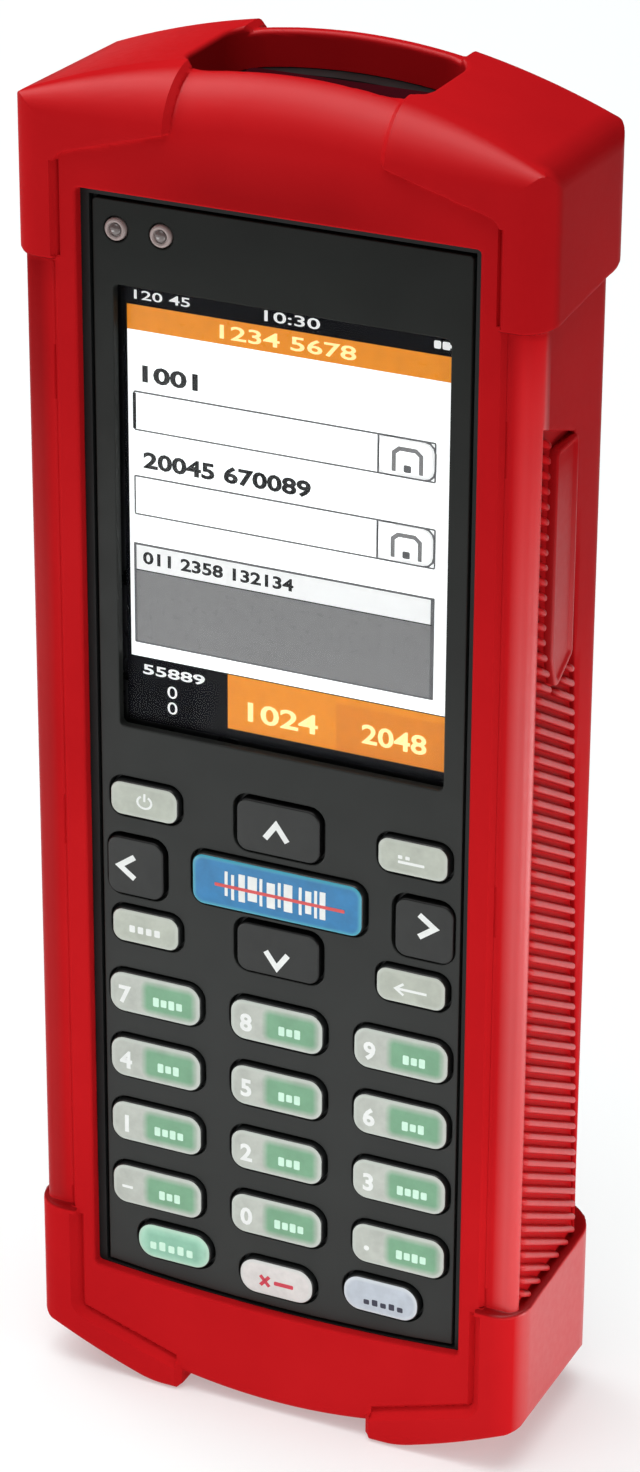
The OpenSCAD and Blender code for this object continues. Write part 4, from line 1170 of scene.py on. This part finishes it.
# status line: plain digits and a battery
ui_text("120 45", -20.6, 153.25, -13.0, 154.45, "light", 1, 0.01)
ui_text("10:30", -3.0, 153.15, 4.4, 154.55, "light", 1, 0.01)
ui([bar(19.3, 20.2, 153.3, 154.3, 0.2), bar(20.4, 21.4, 153.3, 154.3, 0.2), bar(21.4, 21.6, 153.6, 154.0)], "light", 1)
ui_text("1234 5678", -9.0, 149.95, 9.2, 151.8, "cream", 2, 0.015)
ui_text("1001", -19.6, 142.55, -12.0, 144.8, "ink", 2, 0.035)
frame_of(-20.85, 19.85, 136.05, 141.3, 0.22, 0.25)
ui([bar(-20.95, -20.5, 136.3, 141.0)], "ink", 4)
ui_text("20045 670089", -19.6, 131.15, 3.3, 133.45, "ink", 2, 0.035)
frame_of(-20.9, 19.95, 124.8, 130.1, 0.22, 0.25)
for z0, z1 in ((136.05, 141.3), (124.8, 130.1)):
    # icon box with its outer corners rounded, and a plain arch and dot inside
    ui([bar(12.1, 19.9, z0, z1, 1.5), bar(12.1, 14.5, z0, z1)], "line", 4)
    ui([bar(12.36, 19.64, z0 + 0.24, z1 - 0.24, 1.3), bar(12.36, 14.5, z0 + 0.24, z1 - 0.24)], "light", 5)
    ui([bar(12.7, 19.3, z0 + 0.6, z1 - 0.5, 1.1)], "white", 6)
    mid = (z0 + z1) / 2
    ui([stroke([(14.3, z0 + 0.7), (14.3, mid + 0.5), (15.0, mid + 1.1), (17.2, mid + 1.1), (17.9, mid + 0.5), (17.9, z0 + 0.7)], 0.55)], "grey", 7)
    ui([bar(15.6, 16.6, z0 + 0.75, z0 + 1.7, 0.2)], "line", 7)
frame_of(-21.05, 19.95, 107.35, 121.0, 0.26, 0.1, "line", 2, "grey")
ui([bar(-20.8, 19.65, 117.45, 120.72)], "light", 4)
ui([bar(-20.8, 19.65, 117.3, 117.45)], "ink", 5)
ui([bar(-21.05, -20.7, 107.5, 121.0), bar(19.45, 19.95, 107.5, 121.0)], "line", 5)
ui_text("011 2358 132134", -19.8, 118.3, 1.0, 120.0, "ink", 6, 0.03)
ui_text("55889", -20.0, 103.1, -11.3, 104.5, "light", 1, 0.02)
ui_text("0", -16.6, 100.4, -15.2, 102.1, "light", 1)
ui_text("0", -16.6, 98.2, -15.2, 99.9, "light", 1)
ui_text("1024", -5.3, 99.4, 4.4, 102.1, "cream", 3, 0.02)
ui_text("2048", 10.4, 99.6, 19.2, 102.3, "cream", 4, 0.02)
for mat_name, (verts, faces) in ui_parts.items():
    me = mesh_from("screen_" + mat_name, verts, faces, smooth=False)
    link("screen_picture_" + mat_name, me, BODY, UI[mat_name])

# ------------------------------------------------------------------ lamps


def lathe(name, profile, cx, cz, seg=36):
    """Solid of revolution about a line along y; profile is (radius, y) from front to back, both ends closed."""
    verts, faces = [], []
    for r, y in profile:
        verts += [(cx + r * math.cos(2 * math.pi * k / seg), y, cz + r * math.sin(2 * math.pi * k / seg)) for k in range(seg)]
    for a in range(len(profile) - 1):
        for k in range(seg):
            j = (k + 1) % seg
            faces.append((a * seg + k, a * seg + j, (a + 1) * seg + j, (a + 1) * seg + k))
    faces.append(tuple(range(seg)))
    faces.append(tuple(range((len(profile) - 1) * seg, len(profile) * seg))[::-1])
    me = mesh_from(name, verts, faces)
    smooth_by_angle(me, 50)
    return me


ring_m = finish_mat("lamp_ring", (0.40, 0.31, 0.295), rough=(0.28, 0.36), spec=0.6)
dome_m = finish_mat("lamp_dome", (0.15, 0.115, 0.11), rough=(0.1, 0.16), spec=0.7, coat=0.4)
for side_name, x in (("left", -21.9), ("right", -15.8)):
    me = lathe("lamp_lens_" + side_name, [(0.05, -12.56), (0.35, -12.53), (0.6, -12.44), (0.75, -12.32), (0.8, -12.2), (0.86, -12.2), (0.92, -12.34),
                                          (1.05, -12.45), (1.2, -12.46), (1.34, -12.38), (1.42, -12.24), (1.45, -12.0), (1.45, -10.75), (1.78, -10.7),
                                          (1.78, -9.9), (1.4, -9.88), (1.38, -6.55), (1.3, -6.5)], x, 162.9)
    me.materials.append(ring_m)
    me.materials.append(dome_m)
    for f in me.polygons:
        c = f.center
        if math.hypot(c.x / MM - x, c.z / MM - 162.9) < 0.84 and c.y < -0.011:
            f.material_index = 1
    lens = link("lamp_lens_" + side_name, me, BODY)
    if side_name == "left":
        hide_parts("led_lenses")

# ------------------------------------------------------------------ battery door


def door_f(x, y, z):
    ax = np.abs(x)
    f = rmax(np.maximum(ax - 17.0, np.abs(z - 50.0) - 30.0), y - 9.7, 0.3)
    f = np.maximum(rmax(rmax(ax - 17.0, np.abs(z - 50.0) - 30.0, 0.8), y - 9.7, 0.3), 8.3 - y)
    hook = np.maximum(np.maximum(np.abs(ax - 10) - 2, np.maximum(7.1 - y, y - 8.0)), np.maximum(18.5 - z, z - 20.7))
    neck = np.maximum(np.maximum(np.abs(ax - 10) - 2, np.maximum(7.1 - y, y - 8.5)), np.maximum(20.1 - z, z - 20.7))
    f = np.minimum(f, np.minimum(hook, neck))
    f = rmax(f, -(np.sqrt(x * x + (y - 13.9) ** 2 + (z - 75) ** 2) - 5.0), 0.15)
    zz = (z - 62.4 + 0.9) % 1.8 - 0.9
    groove = np.maximum(np.hypot(zz, np.maximum(ax - 7.6, 0)) - 0.4, np.maximum(61.5 - z, z - 70.5))
    return rmax(f, -np.maximum(groove, 9.35 - y), 0.08)


kd = 1.0
DX = mirror_lines(steps(0.0, (7.0, 0.5 * kd), (8.4, 0.25), (12.5, 0.5 * kd), (16.0, 0.9), (17.6, 0.2)))
DY = steps(6.6, (8.1, 0.3), (9.2, 0.3), (10.2, 0.12))
DZ = steps(17.8, (21.0, 0.3), (61.0, 2.5), (71.0, 0.2 * kd), (79.0, 0.4 * kd), (80.6, 0.2))
door = link("battery_door_panel", surface_of("battery_door_panel", door_f, DX, DY, DZ), "battery_door", MAT["housing_plastic"])
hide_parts("battery_door")
print("door faces", len(door.data.polygons))

# ------------------------------------------------------------------ floor, lights

floor_me = bpy.data.meshes.new("floor")
floor_me.from_pydata([(-6, -6, 0), (6, -6, 0), (6, 6, 0), (-6, 6, 0)], [], [(0, 1, 2, 3)])
floor = bpy.data.objects.new("floor", floor_me)
COL.objects.link(floor)
fm = bpy.data.materials.new("floor_pale")
nt, p = nodes_of(fm)
nt.links.new(ramp(nt, noise(nt, 3.0), [(0.3, (0.59, 0.606, 0.606)), (0.7, (0.60, 0.617, 0.617))]), p.inputs["Base Color"])
# a lit table top, so that shadows stay pale
p.inputs["Emission Color"].default_value = (0.975, 1.0, 1.0, 1.0)
p.inputs["Emission Strength"].default_value = 0.35
p.inputs["Roughness"].default_value = 0.6
p.inputs["Specular IOR Level"].default_value = 0.2
floor_me.materials.append(fm)

world = bpy.data.worlds.new("studio")
bpy.context.scene.world = world
world.use_nodes = True
bg = world.node_tree.nodes["Background"]
bg.inputs[0].default_value = (1.0, 1.0, 1.0, 1)
bg.inputs[1].default_value = 0.02


def area(name, loc, target, size, power, size_y=None, seen=True):
    d = bpy.data.lights.new(name, "AREA")
    d.energy = power
    d.shape = "RECTANGLE"
    d.size = size
    d.size_y = size_y or size
    o = bpy.data.objects.new(name, d)
    COL.objects.link(o)
    o.location = loc
    o.rotation_euler = (Vector(target) - Vector(loc)).to_track_quat("-Z", "Y").to_euler()
    o.visible_camera = seen
    return o


def sun(name, azimuth, height, spread, power):
    """A wide soft sun; the azimuth runs from the front (-Y) towards +X."""
    d = bpy.data.lights.new(name, "SUN")
    d.energy = power
    d.angle = math.radians(spread)
    o = bpy.data.objects.new(name, d)
    COL.objects.link(o)
    a, h = math.radians(azimuth), math.radians(height)
    v = Vector((math.sin(a) * math.cos(h), -math.cos(a) * math.cos(h), math.sin(h)))
    o.rotation_euler = (-v).to_track_quat("-Z", "Y").to_euler()
    return o


# a light tent: broad light from above and from the front, a softbox at the upper left, and low reflectors near the feet
sun("overhead", 0.0, 89.9, 50.0, 2.0)
sun("front", 0.0, 60.0, 50.0, 0.70)
area("softbox_left", (-0.9, 0.1, 1.1), (0, 0, 0.1), 0.9, 8.2)
area("reflector_right", (0.165, 0.0, 0.03), (0, 0, 0.05), 0.12, 0.093, 0.045, False)
area("reflector_corner", (0.125, -0.125, 0.03), (0, 0, 0.05), 0.10, 0.048, 0.04, False)
area("reflector_left", (-0.17, -0.17, 0.04), (-0.02, -0.013, 0.06), 0.12, 0.085, 0.06, False)
area("reflector_front", (-0.01, -0.145, 0.026), (-0.01, 0, 0.045), 0.14, 0.014, 0.036, False)

scene = bpy.context.scene
scene.view_settings.view_transform = "Standard"
scene.view_settings.look = "None"
scene.view_settings.exposure = 0.0
scene.view_settings.gamma = 1.0

# ------------------------------------------------------------------ CAD nodes keep their shape and get their finish

for name, ob in frame["nodes"].items():
    slot_name = NODE_SLOT.get(name)
    mat = MAT.get(slot_name)
    if mat is None:
        continue
    if ob.data.materials:
        for i in range(len(ob.data.materials)):
            ob.material_slots[i].material = mat
    else:
        ob.data.materials.append(mat)
